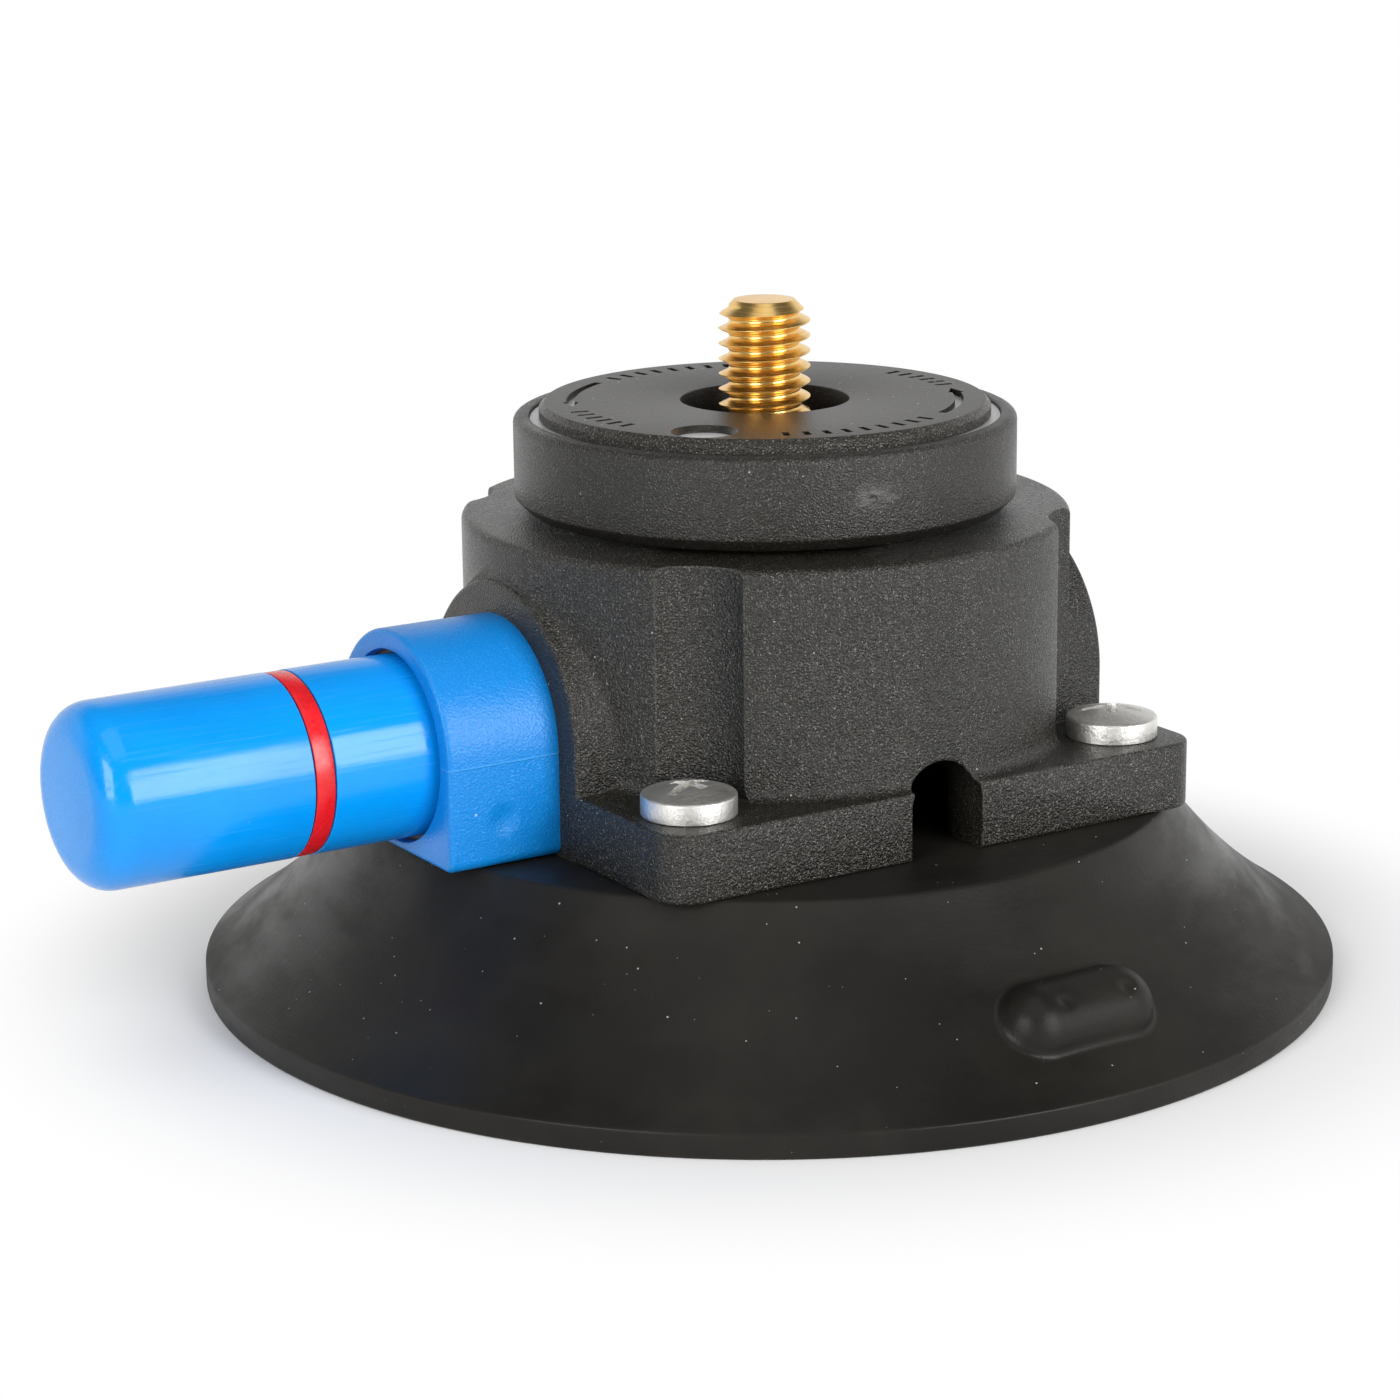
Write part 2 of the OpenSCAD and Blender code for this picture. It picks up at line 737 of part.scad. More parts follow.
module piston_seal() {
    lip = 0.3;
    color([0.1, 0.1, 0.1])
    on_pump(seal_x) rotate_extrude() polygon([
        [neck_r, 0], [piston_r, 0], [piston_r, piston_seal_len],
        [(neck_r + piston_r) / 2 + lip, piston_seal_len], [(neck_r + piston_r) / 2, piston_seal_len / 2],
        [(neck_r + piston_r) / 2 - lip, piston_seal_len], [neck_r, piston_seal_len]
    ]);
}

module piston_head() {
    slot = 1.6;
    color([0.2, 0.2, 0.21])
    difference() {
        on_pump(head_x) ring(piston_r, neck_r, piston_len);
        on_pump(plunger_in_x - 1.5) translate([-far / 2, -slot / 2, 0]) cube([far, slot, 2]);
    }
}

// ---- pump spring ----

spring_from = tip_x + plunger_end_t + wire_d / 2;
spring_len = chamber_x - wire_d / 2 - spring_from;
ring_steps = 8;
ring_sides = 6;
spring_rings = turns * ring_steps;
open_pitch = (spring_len - 2 * end_pitch) / (turns - 2);

// Distance along the axis after u turns: one closed turn, open turns, one closed turn
function coil_rise(u) =
    min(u, 1) * end_pitch
    + max(0, min(u - 1, turns - 2)) * open_pitch
    + max(0, u - turns + 1) * end_pitch;

function coil_point(i) = let (u = i / ring_steps)
    [coil_r * cos(360 * u), coil_r * sin(360 * u), coil_rise(u)];

// One ring of the wire: its sides lie in the plane through the coil's axis
function wire_ring(i) = let (p = coil_point(i), turn = 360 * i / ring_steps)
    [for (k = [0 : ring_sides - 1]) let (a = 360 * k / ring_sides)
        p + wire_d / 2 * [cos(a) * cos(turn), cos(a) * sin(turn), sin(a)]];

spring_points = [for (i = [0 : spring_rings]) each wire_ring(i)];
spring_faces = concat(
    [for (i = [0 : spring_rings - 1], k = [0 : ring_sides - 1])
        let (a = i * ring_sides + k, b = i * ring_sides + (k + 1) % ring_sides)
        each [[a, b, b + ring_sides], [a, b + ring_sides, a + ring_sides]]],
    [for (k = [1 : ring_sides - 2]) [0, k + 1, k]],
    [for (k = [1 : ring_sides - 2]) let (s = spring_rings * ring_sides) [s, s + k, s + k + 1]]
);
spring_gap = min([for (i = [0 : spring_rings - ring_steps])
    norm(coil_point(i + ring_steps) - coil_point(i))]) - wire_d;
echo(spring_gap = spring_gap);

module pump_spring() {
    color([0.72, 0.72, 0.74])
    on_pump(spring_from) polyhedron(spring_points, spring_faces, convexity = 4);
}

// ---- knob ----

module thrust_washer() {
    color([0.9, 0.9, 0.86])
    translate([0, 0, body_top]) ring(hub_r - 0.5, journal_r + 0.4, thrust_t);
}

module knob_ring_profile() {
    difference() {
        union() {
            square([knob_r, knob_h - knob_edge]);
            square([knob_r - knob_edge, knob_h]);
            translate([knob_r - knob_edge, knob_h - knob_edge]) circle(knob_edge, $fn = 48);
        }
        polygon([[knob_r - knob_bevel, -eps], [knob_r + 1, -eps], [knob_r + 1, knob_bevel + 1],
            [knob_r, knob_bevel]]);
        square([knob_r - knob_wall, knob_h]);
    }
}

module lock_knob() {
    color([0.16, 0.155, 0.15])
    difference() {
        union() {
            translate([0, 0, knob_low]) rotate_extrude() knob_ring_profile();
            translate([0, 0, web_low]) cylinder(r = knob_r - knob_wall + eps, h = web_t);
            translate([0, 0, hub_low]) cylinder(r = hub_r, h = web_low - hub_low + eps);
            for (i = [0 : knob_ribs - 1]) rotate(i * 360 / knob_ribs)
                translate([hub_r - 1, -rib_t / 2, knob_low + 1])
                    cube([knob_r - knob_wall - hub_r + 2, rib_t, web_low - knob_low]);
        }
        translate([0, 0, clamp_low]) cylinder(r = knob_bowl_r, h = far);
        translate([0, 0, hub_low - 1]) cylinder(r = journal_r, h = hex_low - hub_low + 1 + eps);
        translate([0, 0, hex_low]) cylinder(r = hex_w / sqrt(3), h = hex_h, $fn = 6);
        translate([0, 0, hex_top - eps]) cylinder(r = shank_r, h = far);
        round_z(3, clamp_screw_out) translate([0, 0, web_low + 0.6]) cylinder(r = 1.45, h = far);
    }
}

module clamp_plate() {
    color([0.78, 0.78, 0.77])
    difference() {
        union() {
            translate([0, 0, clamp_low]) ring(clamp_r, disc_collar_r + fit_gap, clamp_t);
            translate([0, 0, clamp_low])
                ring(disc_r - disc_rim_w - fit_gap, disc_collar_r + fit_gap, raised_top - clamp_low);
        }
        round_z(3, clamp_screw_out) {
            translate([0, 0, clamp_low - eps]) cylinder(r = 1.5, h = far);
            translate([0, 0, raised_top - screw_sink])
                cylinder(r1 = 1.5, r2 = 2.7 + fit_gap, h = screw_sink + fit_gap);
        }
    }
}

module clamp_screws() {
    color([0.3, 0.3, 0.32])
    round_z(3, clamp_screw_out) {
        translate([0, 0, web_low + 0.7]) cylinder(r = 1.45, h = raised_top - web_low - screw_sink);
        translate([0, 0, raised_top - screw_sink]) cylinder(r1 = 1.45, r2 = 2.65, h = screw_sink);
    }
}

// Curved arrow of constant radius: a band from angle a to b, with its head past b
module arrow_outline(a, b) {
    steps = 10;
    half_w = arrow_w / 2;
    head_turn = atan(arrow_head_len / arrow_out);
    inner = [for (i = [0 : steps]) let (t = a + (b - a) * i / steps)
        (arrow_out - half_w) * [cos(t), sin(t)]];
    outer = [for (i = [steps : -1 : 0]) let (t = a + (b - a) * i / steps)
        (arrow_out + half_w) * [cos(t), sin(t)]];
    head = [
        (arrow_out - arrow_head_w / 2) * [cos(b), sin(b)],
        arrow_out * [cos(b + head_turn), sin(b + head_turn)],
        (arrow_out + arrow_head_w / 2) * [cos(b), sin(b)]
    ];
    polygon(concat(inner, head, outer));
}

module knob_disc() {
    color([0.2, 0.195, 0.19])
    difference() {
        translate([0, 0, disc_low]) {
            cylinder(r = disc_r, h = disc_t - disc_bevel);
            translate([0, 0, disc_t - disc_bevel])
                cylinder(r1 = disc_r, r2 = disc_r - disc_bevel, h = disc_bevel);
            translate([0, 0, clamp_low - disc_low])
                cylinder(r = disc_collar_r, h = disc_low - clamp_low + eps);
        }
        translate([0, 0, clamp_low - 1]) cylinder(r = disc_hole_r, h = far);
        translate([0, 0, disc_low - eps]) ring(disc_r - disc_rim_w, disc_collar_r, skin_low - disc_low + eps);
        rotate(sight_turn) translate([sight_out, 0, skin_low - eps]) {
            cylinder(r = sight_r, h = disc_skin + 1);
            translate([0, 0, disc_skin - sight_bevel + eps])
                cylinder(r1 = sight_r, r2 = sight_r + sight_bevel, h = sight_bevel + eps);
        }
        translate([0, 0, skin_low - eps]) linear_extrude(disc_skin + 1) {
            arrow_outline(front_arrow[0], front_arrow[1]);
            arrow_outline(rear_arrow[0], rear_arrow[1]);
        }
    }
}

module mounting_stud() {
    color([0.8, 0.62, 0.25])
    difference() {
        union() {
            translate([0, 0, stud_low]) cylinder(r = journal_r, h = hex_low - stud_low + eps);
            translate([0, 0, hex_low]) cylinder(r = hex_w / sqrt(3), h = hex_h, $fn = 6);
            translate([0, 0, hex_top - eps]) cylinder(r = shank_r, h = thread_low - hex_top + 2 * eps);
            translate([0, 0, thread_low]) cylinder(r = stud_r, h = stud_top - stud_bevel - thread_low);
            translate([0, 0, stud_top - stud_bevel])
                cylinder(r1 = stud_r, r2 = stud_r - stud_bevel, h = stud_bevel);
        }
        translate([0, 0, clip_low]) ring(journal_r + 1, groove_r, clip_t);
    }
}

module retaining_washer() {
    color([0.7, 0.7, 0.72])
    translate([0, 0, washer_low]) ring(journal_r + 2.2, journal_r, washer_t);
}

// Open ring that snaps into the stud's groove from one side
module retaining_clip() {
    color([0.35, 0.35, 0.37])
    difference() {
        translate([0, 0, clip_low]) ring(journal_r + 1.8, groove_r, clip_t);
        translate([0, -groove_r * 0.75, clip_low - 1]) cube([far, groove_r * 1.5, clip_t + 2]);
    }
}

vacuum_pad();
insert_plate();
weld_nuts();
filter_screen();
foam_filter();
intake_valve();
port_seal();
pump_housing();
flange_screws();
pump_barrel();
wiper_ring();
exhaust_valve();
end_cap();
cap_screws();
plunger();
vacuum_line();
piston_seal();
piston_head();
pump_spring();
thrust_washer();
lock_knob();
clamp_plate();
clamp_screws();
knob_disc();
mounting_stud();
retaining_washer();
retaining_clip();
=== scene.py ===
import bpy
import bmesh
import numpy as np
from math import sin, cos, tan, pi, radians, atan2, hypot, sqrt
from mathutils import Vector, Matrix


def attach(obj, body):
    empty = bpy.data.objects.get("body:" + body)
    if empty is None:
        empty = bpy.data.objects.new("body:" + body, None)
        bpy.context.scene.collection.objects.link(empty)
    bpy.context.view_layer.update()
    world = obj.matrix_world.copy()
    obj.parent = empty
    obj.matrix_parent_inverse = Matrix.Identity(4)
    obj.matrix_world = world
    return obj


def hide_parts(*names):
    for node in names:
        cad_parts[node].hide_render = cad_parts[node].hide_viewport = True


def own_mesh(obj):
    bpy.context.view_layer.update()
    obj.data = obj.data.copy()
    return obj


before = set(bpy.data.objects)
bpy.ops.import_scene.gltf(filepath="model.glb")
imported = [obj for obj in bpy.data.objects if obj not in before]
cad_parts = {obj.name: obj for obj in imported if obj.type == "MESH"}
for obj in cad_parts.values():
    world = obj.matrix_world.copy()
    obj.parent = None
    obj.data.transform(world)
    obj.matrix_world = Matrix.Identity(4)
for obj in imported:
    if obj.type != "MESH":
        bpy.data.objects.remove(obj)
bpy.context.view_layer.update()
print("frame loaded:", len(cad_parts), "nodes")

# Pieces are modelled in millimetres and scaled to metres when they are finished.
mm = 0.001
# The height of the pump's axis, the air port and the flange screws matter to several pieces.
pumpZ = 30.2
portX = 21.8
screwPlaces = [(sx * 25.9, sy * 26.0) for sx in (-1, 1) for sy in (-1, 1)]
hexagon = {'wide': 15.0, 'low': 50.95, 'top': 53.55}  # the stud's, which the knob is moulded round


def clearSelection():
    if bpy.context.object and bpy.context.object.mode != 'OBJECT':
        bpy.ops.object.mode_set(mode='OBJECT')
    bpy.ops.object.select_all(action='DESELECT')


def pick(obj):
    clearSelection()
    obj.select_set(True)
    bpy.context.view_layer.objects.active = obj


def settle():
    # puts the active object's place, turn and scale into its mesh
    bpy.ops.object.transform_apply(location=True, rotation=True, scale=True)


def added(name):
    # the primitive that was just added
    obj = bpy.context.object
    obj.name = name
    obj.data.name = name
    settle()
    return obj


def copied(obj, place, turn):
    copy = obj.copy()
    copy.data = obj.data.copy()
    bpy.context.collection.objects.link(copy)
    pick(copy)
    copy.location = place
    copy.rotation_euler = turn
    settle()
    return copy


def edit(obj):
    pick(obj)
    bpy.ops.object.mode_set(mode='EDIT')
    bpy.ops.mesh.select_mode(type='VERT')


def done():
    bpy.ops.object.mode_set(mode='OBJECT')


def selectAll():
    bpy.ops.mesh.select_all(action='SELECT')


def choose(obj, kind, test):
    # selects the edges or faces that pass the test, in edit mode
    bpy.ops.mesh.select_mode(type=kind)
    bpy.ops.mesh.select_all(action='DESELECT')
    bm = bmesh.from_edit_mesh(obj.data)
    for item in {'EDGE': bm.edges, 'FACE': bm.faces}[kind]:
        if test(item):
            item.select_set(True)
    bm.select_flush_mode()
    bmesh.update_edit_mesh(obj.data)


def middle(item):
    return sum((v.co for v in item.verts), Vector()) / len(item.verts)


def extrude(way):
    bpy.ops.mesh.extrude_region_move(TRANSFORM_OT_translate={"value": way})


def faceOutwards():
    selectAll()
    bpy.ops.mesh.normals_make_consistent(inside=False)


def cutPlane(at, way):
    # keeps what lies ahead of the plane, and closes it
    selectAll()
    bpy.ops.mesh.bisect(plane_co=at, plane_no=way, clear_inner=True, use_fill=True, threshold=0.0001)


def tidyMesh(obj, gap=0.0005):
    edit(obj)
    selectAll()
    bpy.ops.mesh.remove_doubles(threshold=gap)
    faceOutwards()
    done()


def cylinder(name, radius, depth, at, turn=(0, 0, 0), sides=128):
    clearSelection()
    bpy.ops.mesh.primitive_cylinder_add(vertices=sides, radius=radius, depth=depth,
                                        location=at, rotation=turn)
    return added(name)


def upright(name, radius, low, top, x=0, y=0, sides=64, turn=0):
    return cylinder(name, radius, top - low, (x, y, (low + top) / 2), (0, 0, turn), sides)


def lengthwise(name, radius, start, end, y=0, sides=48):
    # a cylinder along the pump
    return cylinder(name, radius, end - start, ((start + end) / 2, y, pumpZ), (0, radians(90), 0), sides)


def block(name, size, at, turn=(0, 0, 0)):
    clearSelection()
    bpy.ops.mesh.primitive_cube_add(size=1, location=at, rotation=turn, scale=size)
    return added(name)


def roundedPath(corners, arcSteps=5):
    # corners are (a, b) or (a, b, radius); each corner with a radius becomes an arc
    path = []
    for i, (x, y, *radius) in enumerate(corners):
        p = Vector((x, y))
        if not radius:
            path.append(p)
            continue
        u = (Vector(corners[i - 1][:2]) - p).normalized()
        v = (Vector(corners[i + 1][:2]) - p).normalized()
        r, half = radius[0], u.angle(v) / 2
        reach = r / tan(half)
        centre = p + (u + v).normalized() * r / sin(half)
        start, end = p + u * reach - centre, p + v * reach - centre
        sweep = atan2(start.x * end.y - start.y * end.x, start.dot(end))
        for k in range(arcSteps + 1):
            a = atan2(start.y, start.x) + sweep * k / arcSteps
            path.append(centre + Vector((cos(a), sin(a))) * r)
    return path


def drawLine(name, points):
    # a plane merged to one point, then drawn on by extruding
    clearSelection()
    bpy.ops.mesh.primitive_plane_add(size=1, location=points[0])
    obj = added(name)
    edit(obj)
    selectAll()
    bpy.ops.mesh.merge(type='CENTER')
    for a, b in zip(points, points[1:]):
        extrude(Vector(b) - Vector(a))
    done()
    return obj


def turned(name, path, steps, alongPump=False, closed=False):
    # spins a profile (radius, height) round the stud, or (radius, x) round the pump
    path = list(path) + list(path[:1] if closed else [])
    obj = drawLine(name, [(x, 0, pumpZ + r) if alongPump else (r, 0, x) for r, x in path])
    edit(obj)
    selectAll()
    bpy.ops.mesh.spin(steps=steps, angle=2 * pi, center=(0, 0, pumpZ if alongPump else 0),
                      axis=(1, 0, 0) if alongPump else (0, 0, 1))
    done()
    tidyMesh(obj)
    return obj


def arched(name, radius, start, end, flat, z=pumpZ, across=False):
    # a round bar, along the pump or across it, whose lower half is drawn down to a flat foot
    half = (start + end) / 2
    at, turn = ((0, half, z), (radians(90), 0, 0)) if across else ((half, 0, z), (0, radians(90), 0))
    obj = cylinder(name, radius, end - start, at, turn)
    edit(obj)
    cutPlane(at, (0, 0, 1))
    selectAll()
    bpy.ops.mesh.remove_doubles(threshold=0.01)
    choose(obj, 'FACE', lambda f: f.normal.z < -0.9)
    extrude((0, 0, flat - z))
    faceOutwards()
    done()
    return obj


def carve(obj, tool, how='DIFFERENCE'):
    mod = obj.modifiers.new(how.lower(), 'BOOLEAN')
    mod.operation = how
    mod.solver = 'EXACT'
    mod.object = tool
    pick(obj)
    bpy.ops.object.modifier_apply(modifier=mod.name)
    bpy.data.objects.remove(tool)


def bevelEdges(obj, width, segments, angle):
    mod = obj.modifiers.new('bevel', 'BEVEL')
    mod.width = width
    mod.segments = segments
    mod.limit_method = 'ANGLE'
    mod.angle_limit = radians(angle)
    mod.miter_outer = 'MITER_ARC'
    pick(obj)
    bpy.ops.object.modifier_apply(modifier=mod.name)


def joined(objs, name):
    clearSelection()
    for o in objs:
        o.select_set(True)
    bpy.context.view_layer.objects.active = objs[0]
    bpy.ops.object.join()
    objs[0].name = name
    objs[0].data.name = name
    return objs[0]


def finished(obj, body, slotName, finish, *nodes, smooth=35):
    pick(obj)
    obj.scale = (mm, mm, mm)
    settle()
    bpy.ops.object.shade_smooth_by_angle(angle=radians(smooth))
    obj.data.materials.clear()
    obj.data.materials.append(finishes[finish])
    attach(obj, body)
    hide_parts(*nodes)
    print("piece:", obj.name, len(obj.data.polygons), "faces")


def plug(tree, value, socket):
    # a socket is linked, a number or colour is typed in
    if isinstance(value, bpy.types.NodeSocket):
        tree.links.new(value, socket)
    elif value is not None:
        socket.default_value = value


def calc(tree, operation, *values, clamp=False):
    n = tree.nodes.new('ShaderNodeMath')
    n.operation = operation
    n.use_clamp = clamp
    for i, value in enumerate(values):
        plug(tree, value, n.inputs[i])
    return n.outputs[0]


def plus(tree, a, b):
    return calc(tree, 'ADD', a, b)


def times(tree, a, b):
    return calc(tree, 'MULTIPLY', a, b)


def distance(tree, x, y):
    return calc(tree, 'SQRT', plus(tree, times(tree, x, x), times(tree, y, y)))


def vectorMath(tree, operation, a, b=None):
    n = tree.nodes.new('ShaderNodeVectorMath')
    n.operation = operation
    plug(tree, a, n.inputs[0])
    plug(tree, b, n.inputs[1])
    return n.outputs


def axes(tree, vector):
    n = tree.nodes.new('ShaderNodeSeparateXYZ')
    tree.links.new(vector, n.inputs[0])
    return n.outputs


def remap(tree, value, low, high, newLow=0.0, newHigh=1.0):
    n = tree.nodes.new('ShaderNodeMapRange')
    n.interpolation_type = 'SMOOTHSTEP'
    for i, v in enumerate((value, low, high, newLow, newHigh)):
        plug(tree, v, n.inputs[i])
    return n.outputs[0]


def objectPoint(tree, stretch=None):
    point = tree.nodes.new('ShaderNodeTexCoord').outputs['Object']
    if stretch is None:
        return point
    mapping = tree.nodes.new('ShaderNodeMapping')
    mapping.inputs['Scale'].default_value = stretch
    tree.links.new(point, mapping.inputs['Vector'])
    return mapping.outputs['Vector']


def noise(tree, scale, detail=2.0, rough=0.5, stretch=None):
    n = tree.nodes.new('ShaderNodeTexNoise')
    tree.links.new(objectPoint(tree, stretch), n.inputs['Vector'])
    for label, value in (('Scale', scale), ('Detail', detail), ('Roughness', rough)):
        plug(tree, value, n.inputs[label])
    return n.outputs[0]


def mixColour(tree, factor, a, b):
    n = tree.nodes.new('ShaderNodeMix')
    n.data_type = 'RGBA'
    for i, value in ((0, factor), (6, a), (7, b)):
        plug(tree, (*value, 1) if isinstance(value, tuple) else value, n.inputs[i])
    return n.outputs[2]


def bump(tree, height, depth, under=None):
    n = tree.nodes.new('ShaderNodeBump')
    for label, value in (('Strength', 1.0), ('Distance', depth), ('Height', height), ('Normal', under)):
        plug(tree, value, n.inputs[label])
    return n.outputs[0]


# shared effects, as node groups

def newGroup(name, inputs, outputs):
    group = bpy.data.node_groups.new(name, 'ShaderNodeTree')
    for label, value in inputs.items():
        group.interface.new_socket(label, in_out='INPUT', socket_type='NodeSocketFloat').default_value = value
    for label in outputs:
        kind = 'NodeSocketVector' if label == 'Normal' else 'NodeSocketFloat'
        group.interface.new_socket(label, in_out='OUTPUT', socket_type=kind)
    return group, group.nodes.new('NodeGroupInput').outputs, group.nodes.new('NodeGroupOutput').inputs


def makeMouldGrain():
    # fine spark-eroded texture of a moulding: a height, and a mask of the few facets that catch light, used
    # for painted glints in the colour and for a glossier roughness
    group, given, out = newGroup('mouldGrain', {'Scale': 4500.0, 'Coarse': 0.3}, ['Height', 'PaintedGlintAndGloss'])
    fine = noise(group, given['Scale'], 1.0, 0.6)
    broad = noise(group, times(group, given['Scale'], 0.35), 1.0)
    glint = noise(group, times(group, given['Scale'], 1.35), 0.0)
    plug(group, plus(group, fine, times(group, broad, given['Coarse'])), out['Height'])
    plug(group, remap(group, glint, 0.64, 0.76), out['PaintedGlintAndGloss'])
    return group


def makeEdgeWearAndHighlight():
    # pale edges: where the rounded normal leaves the true one, broken up by patches; rubbed wear, and on the
    # housing partly a painted highlight along its edges
    inputs = {'Radius': 0.0003, 'Amount': 1.0, 'Patch': 500.0}
    group, given, out = newGroup('edgeWearAndHighlight', inputs, ['Mask', 'Normal'])
    bevel = group.nodes.new('ShaderNodeBevel')
    bevel.samples = 6
    plug(group, given['Radius'], bevel.inputs['Radius'])
    plain = group.nodes.new('ShaderNodeNewGeometry').outputs['Normal']
    bend = remap(group, vectorMath(group, 'DOT_PRODUCT', bevel.outputs[0], plain)['Value'], 0.995, 0.90)
    patch = remap(group, noise(group, given['Patch'], 3.0, 0.6), 0.35, 0.62)
    plug(group, calc(group, 'MULTIPLY', times(group, bend, patch), given['Amount'], clamp=True), out['Mask'])
    plug(group, bevel.outputs[0], out['Normal'])
    return group


def makeDust():
    # scattered pale specks, most of them on what faces upwards
    group, given, out = newGroup('dustSpecks', {'Scale': 260.0, 'Size': 0.05, 'Share': 0.3}, ['Mask'])
    cells = group.nodes.new('ShaderNodeTexVoronoi')
    group.links.new(objectPoint(group), cells.inputs['Vector'])
    plug(group, given['Scale'], cells.inputs['Scale'])
    chance = group.nodes.new('ShaderNodeSeparateColor')
    group.links.new(cells.outputs['Color'], chance.inputs[0])
    size = times(group, given['Size'], plus(group, chance.outputs[1], 0.25))
    speck = calc(group, 'LESS_THAN', cells.outputs['Distance'], size)
    kept = calc(group, 'LESS_THAN', chance.outputs[0], given['Share'])
    facing = axes(group, group.nodes.new('ShaderNodeNewGeometry').outputs['Normal'])
    upward = remap(group, facing[2], -0.3, 0.5, 0.25, 1.0)
    plug(group, times(group, times(group, speck, kept), upward), out['Mask'])
    return group


def makeSmudges():
    # soft cloudy patches left by handling
    group, given, out = newGroup('smudges', {'Scale': 60.0}, ['Value'])
    plug(group, remap(group, noise(group, given['Scale'], 4.0, 0.62), 0.32, 0.70), out['Value'])
    return group


mouldGrain = makeMouldGrain()
edgeWearAndHighlight = makeEdgeWearAndHighlight()
dustSpecks = makeDust()
smudges = makeSmudges()
print("shared effects made")


def newMaterial(name):
    material = bpy.data.materials.new(name)
    material.use_nodes = True
    return material, material.node_tree


def dressed(material, colour, roughness, normal, specular=None, metallic=None):
    tree = material.node_tree
    shader = tree.nodes['Principled BSDF']
    for label, value in (('Base Color', colour), ('Roughness', roughness), ('Normal', normal),
                         ('Specular IOR Level', specular), ('Metallic', metallic)):
        plug(tree, value, shader.inputs[label])
    return material


def effect(tree, group, **values):
    n = tree.nodes.new('ShaderNodeGroup')
    n.node_tree = group
    for key, value in values.items():
        plug(tree, value, n.inputs[key])
    return n.outputs


def clouded(tree, scale, dark, pale):
    return mixColour(tree, effect(tree, smudges, Scale=scale)['Value'], dark, pale)


paleDust = (0.55, 0.53, 0.50)
blueDust = (0.65, 0.75, 0.85)
sparkGloss = -0.12  # roughness that a facet in the grain loses
# on the housing the pale edges are partly rubbed wear and partly a painted highlight along its edges
housingFinish = {
    'colour': (0.0105, 0.0096, 0.0066), 'wornAndHighlightColour': (0.085, 0.080, 0.070), 'wearAndHighlight': 0.90, 'wearAndHighlightRadius': 0.0004,
    'rough': 0.30, 'patch': 0.08, 'grain': 4500.0, 'coarse': 0.04, 'depth': 0.00020,
    'paintedGlintAmount': 0.50, 'paintedGlintColour': (0.22, 0.21, 0.195), 'dust': 0.22,
}
knobFinish = {
    'colour': (0.0125, 0.0112, 0.0082), 'wornAndHighlightColour': (0.050, 0.047, 0.042), 'wearAndHighlight': 0.45, 'wearAndHighlightRadius': 0.0003,
    'rough': 0.36, 'patch': 0.18, 'grain': 4800.0, 'coarse': 0.02, 'depth': 0.00014,
    'paintedGlintAmount': 0.35, 'paintedGlintColour': (0.22, 0.21, 0.195), 'dust': 0.22,
    # the gate's painted sheen: a pale streaky halo of colour round the gate mark
    'gate': (-0.0040, -0.0259, 0.0552), 'sheenReach': (0.0006, 0.0034), 'sheenSqueeze': (1.0, 1.0, 1.9),
    'paintedSheenAmount': 0.7, 'paintedSheenColour': (0.115, 0.111, 0.104),
}


def paintedGateSheen(tree, s):
    # painted sheen: a pale streaky halo of colour round the gate, for the light that its flow marks catch
    apart = vectorMath(tree, 'SUBTRACT', objectPoint(tree), s['gate'])[0]
    away = vectorMath(tree, 'LENGTH', vectorMath(tree, 'MULTIPLY', apart, s['sheenSqueeze'])[0])['Value']
    near = remap(tree, away, *s['sheenReach'], 1.0, 0.0)
    streaks = remap(tree, noise(tree, 1.0, 3.0, 0.6, (700.0, 700.0, 2200.0)), 0.30, 0.62)
    return times(tree, times(tree, near, streaks), s['paintedSheenAmount'])


def moulded(name, s):
    # black moulded plastic: grain with painted glints, pale edges (rubbed wear, on the housing partly a
    # painted edge highlight), handling marks, dust and, on the knob, a painted sheen round the gate
    material, tree = newMaterial(name)
    texture = effect(tree, mouldGrain, Scale=s['grain'], Coarse=s['coarse'])
    wornAndHighlitEdges = effect(tree, edgeWearAndHighlight, Radius=s['wearAndHighlightRadius'], Amount=s['wearAndHighlight'])
    specks = effect(tree, dustSpecks, Scale=900.0, Size=0.075, Share=s['dust'])
    cloud = effect(tree, smudges, Scale=55.0)
    # painted glints: pale flecks of colour on the grain's facets
    base = mixColour(tree, times(tree, texture['PaintedGlintAndGloss'], s['paintedGlintAmount']), s['colour'], s['paintedGlintColour'])
    base = mixColour(tree, wornAndHighlitEdges['Mask'], base, s['wornAndHighlightColour'])
    base = mixColour(tree, specks['Mask'], base, paleDust)
    # painted sheen round the knob's gate
    if 'gate' in s:
        base = mixColour(tree, paintedGateSheen(tree, s), base, s['paintedSheenColour'])
    rough = plus(tree, s['rough'] - s['patch'] / 2, times(tree, cloud['Value'], s['patch']))
    rough = plus(tree, rough, times(tree, texture['PaintedGlintAndGloss'], sparkGloss))
    return dressed(material, base, rough, bump(tree, texture['Height'], s['depth'], wornAndHighlitEdges['Normal']))


def metal(name, colour, rough, grain=1800.0, depth=0.00001, spread=0.1, tint=0.8, stretch=None, metallic=1.0):
    material, tree = newMaterial(name)
    pits = noise(tree, grain, 3.0, 0.6, stretch)
    base = clouded(tree, 300.0, tuple(c * tint for c in colour), colour)
    rough = plus(tree, rough - spread / 2, times(tree, pits, spread))
    return dressed(material, base, rough, bump(tree, pits, depth), metallic=metallic)


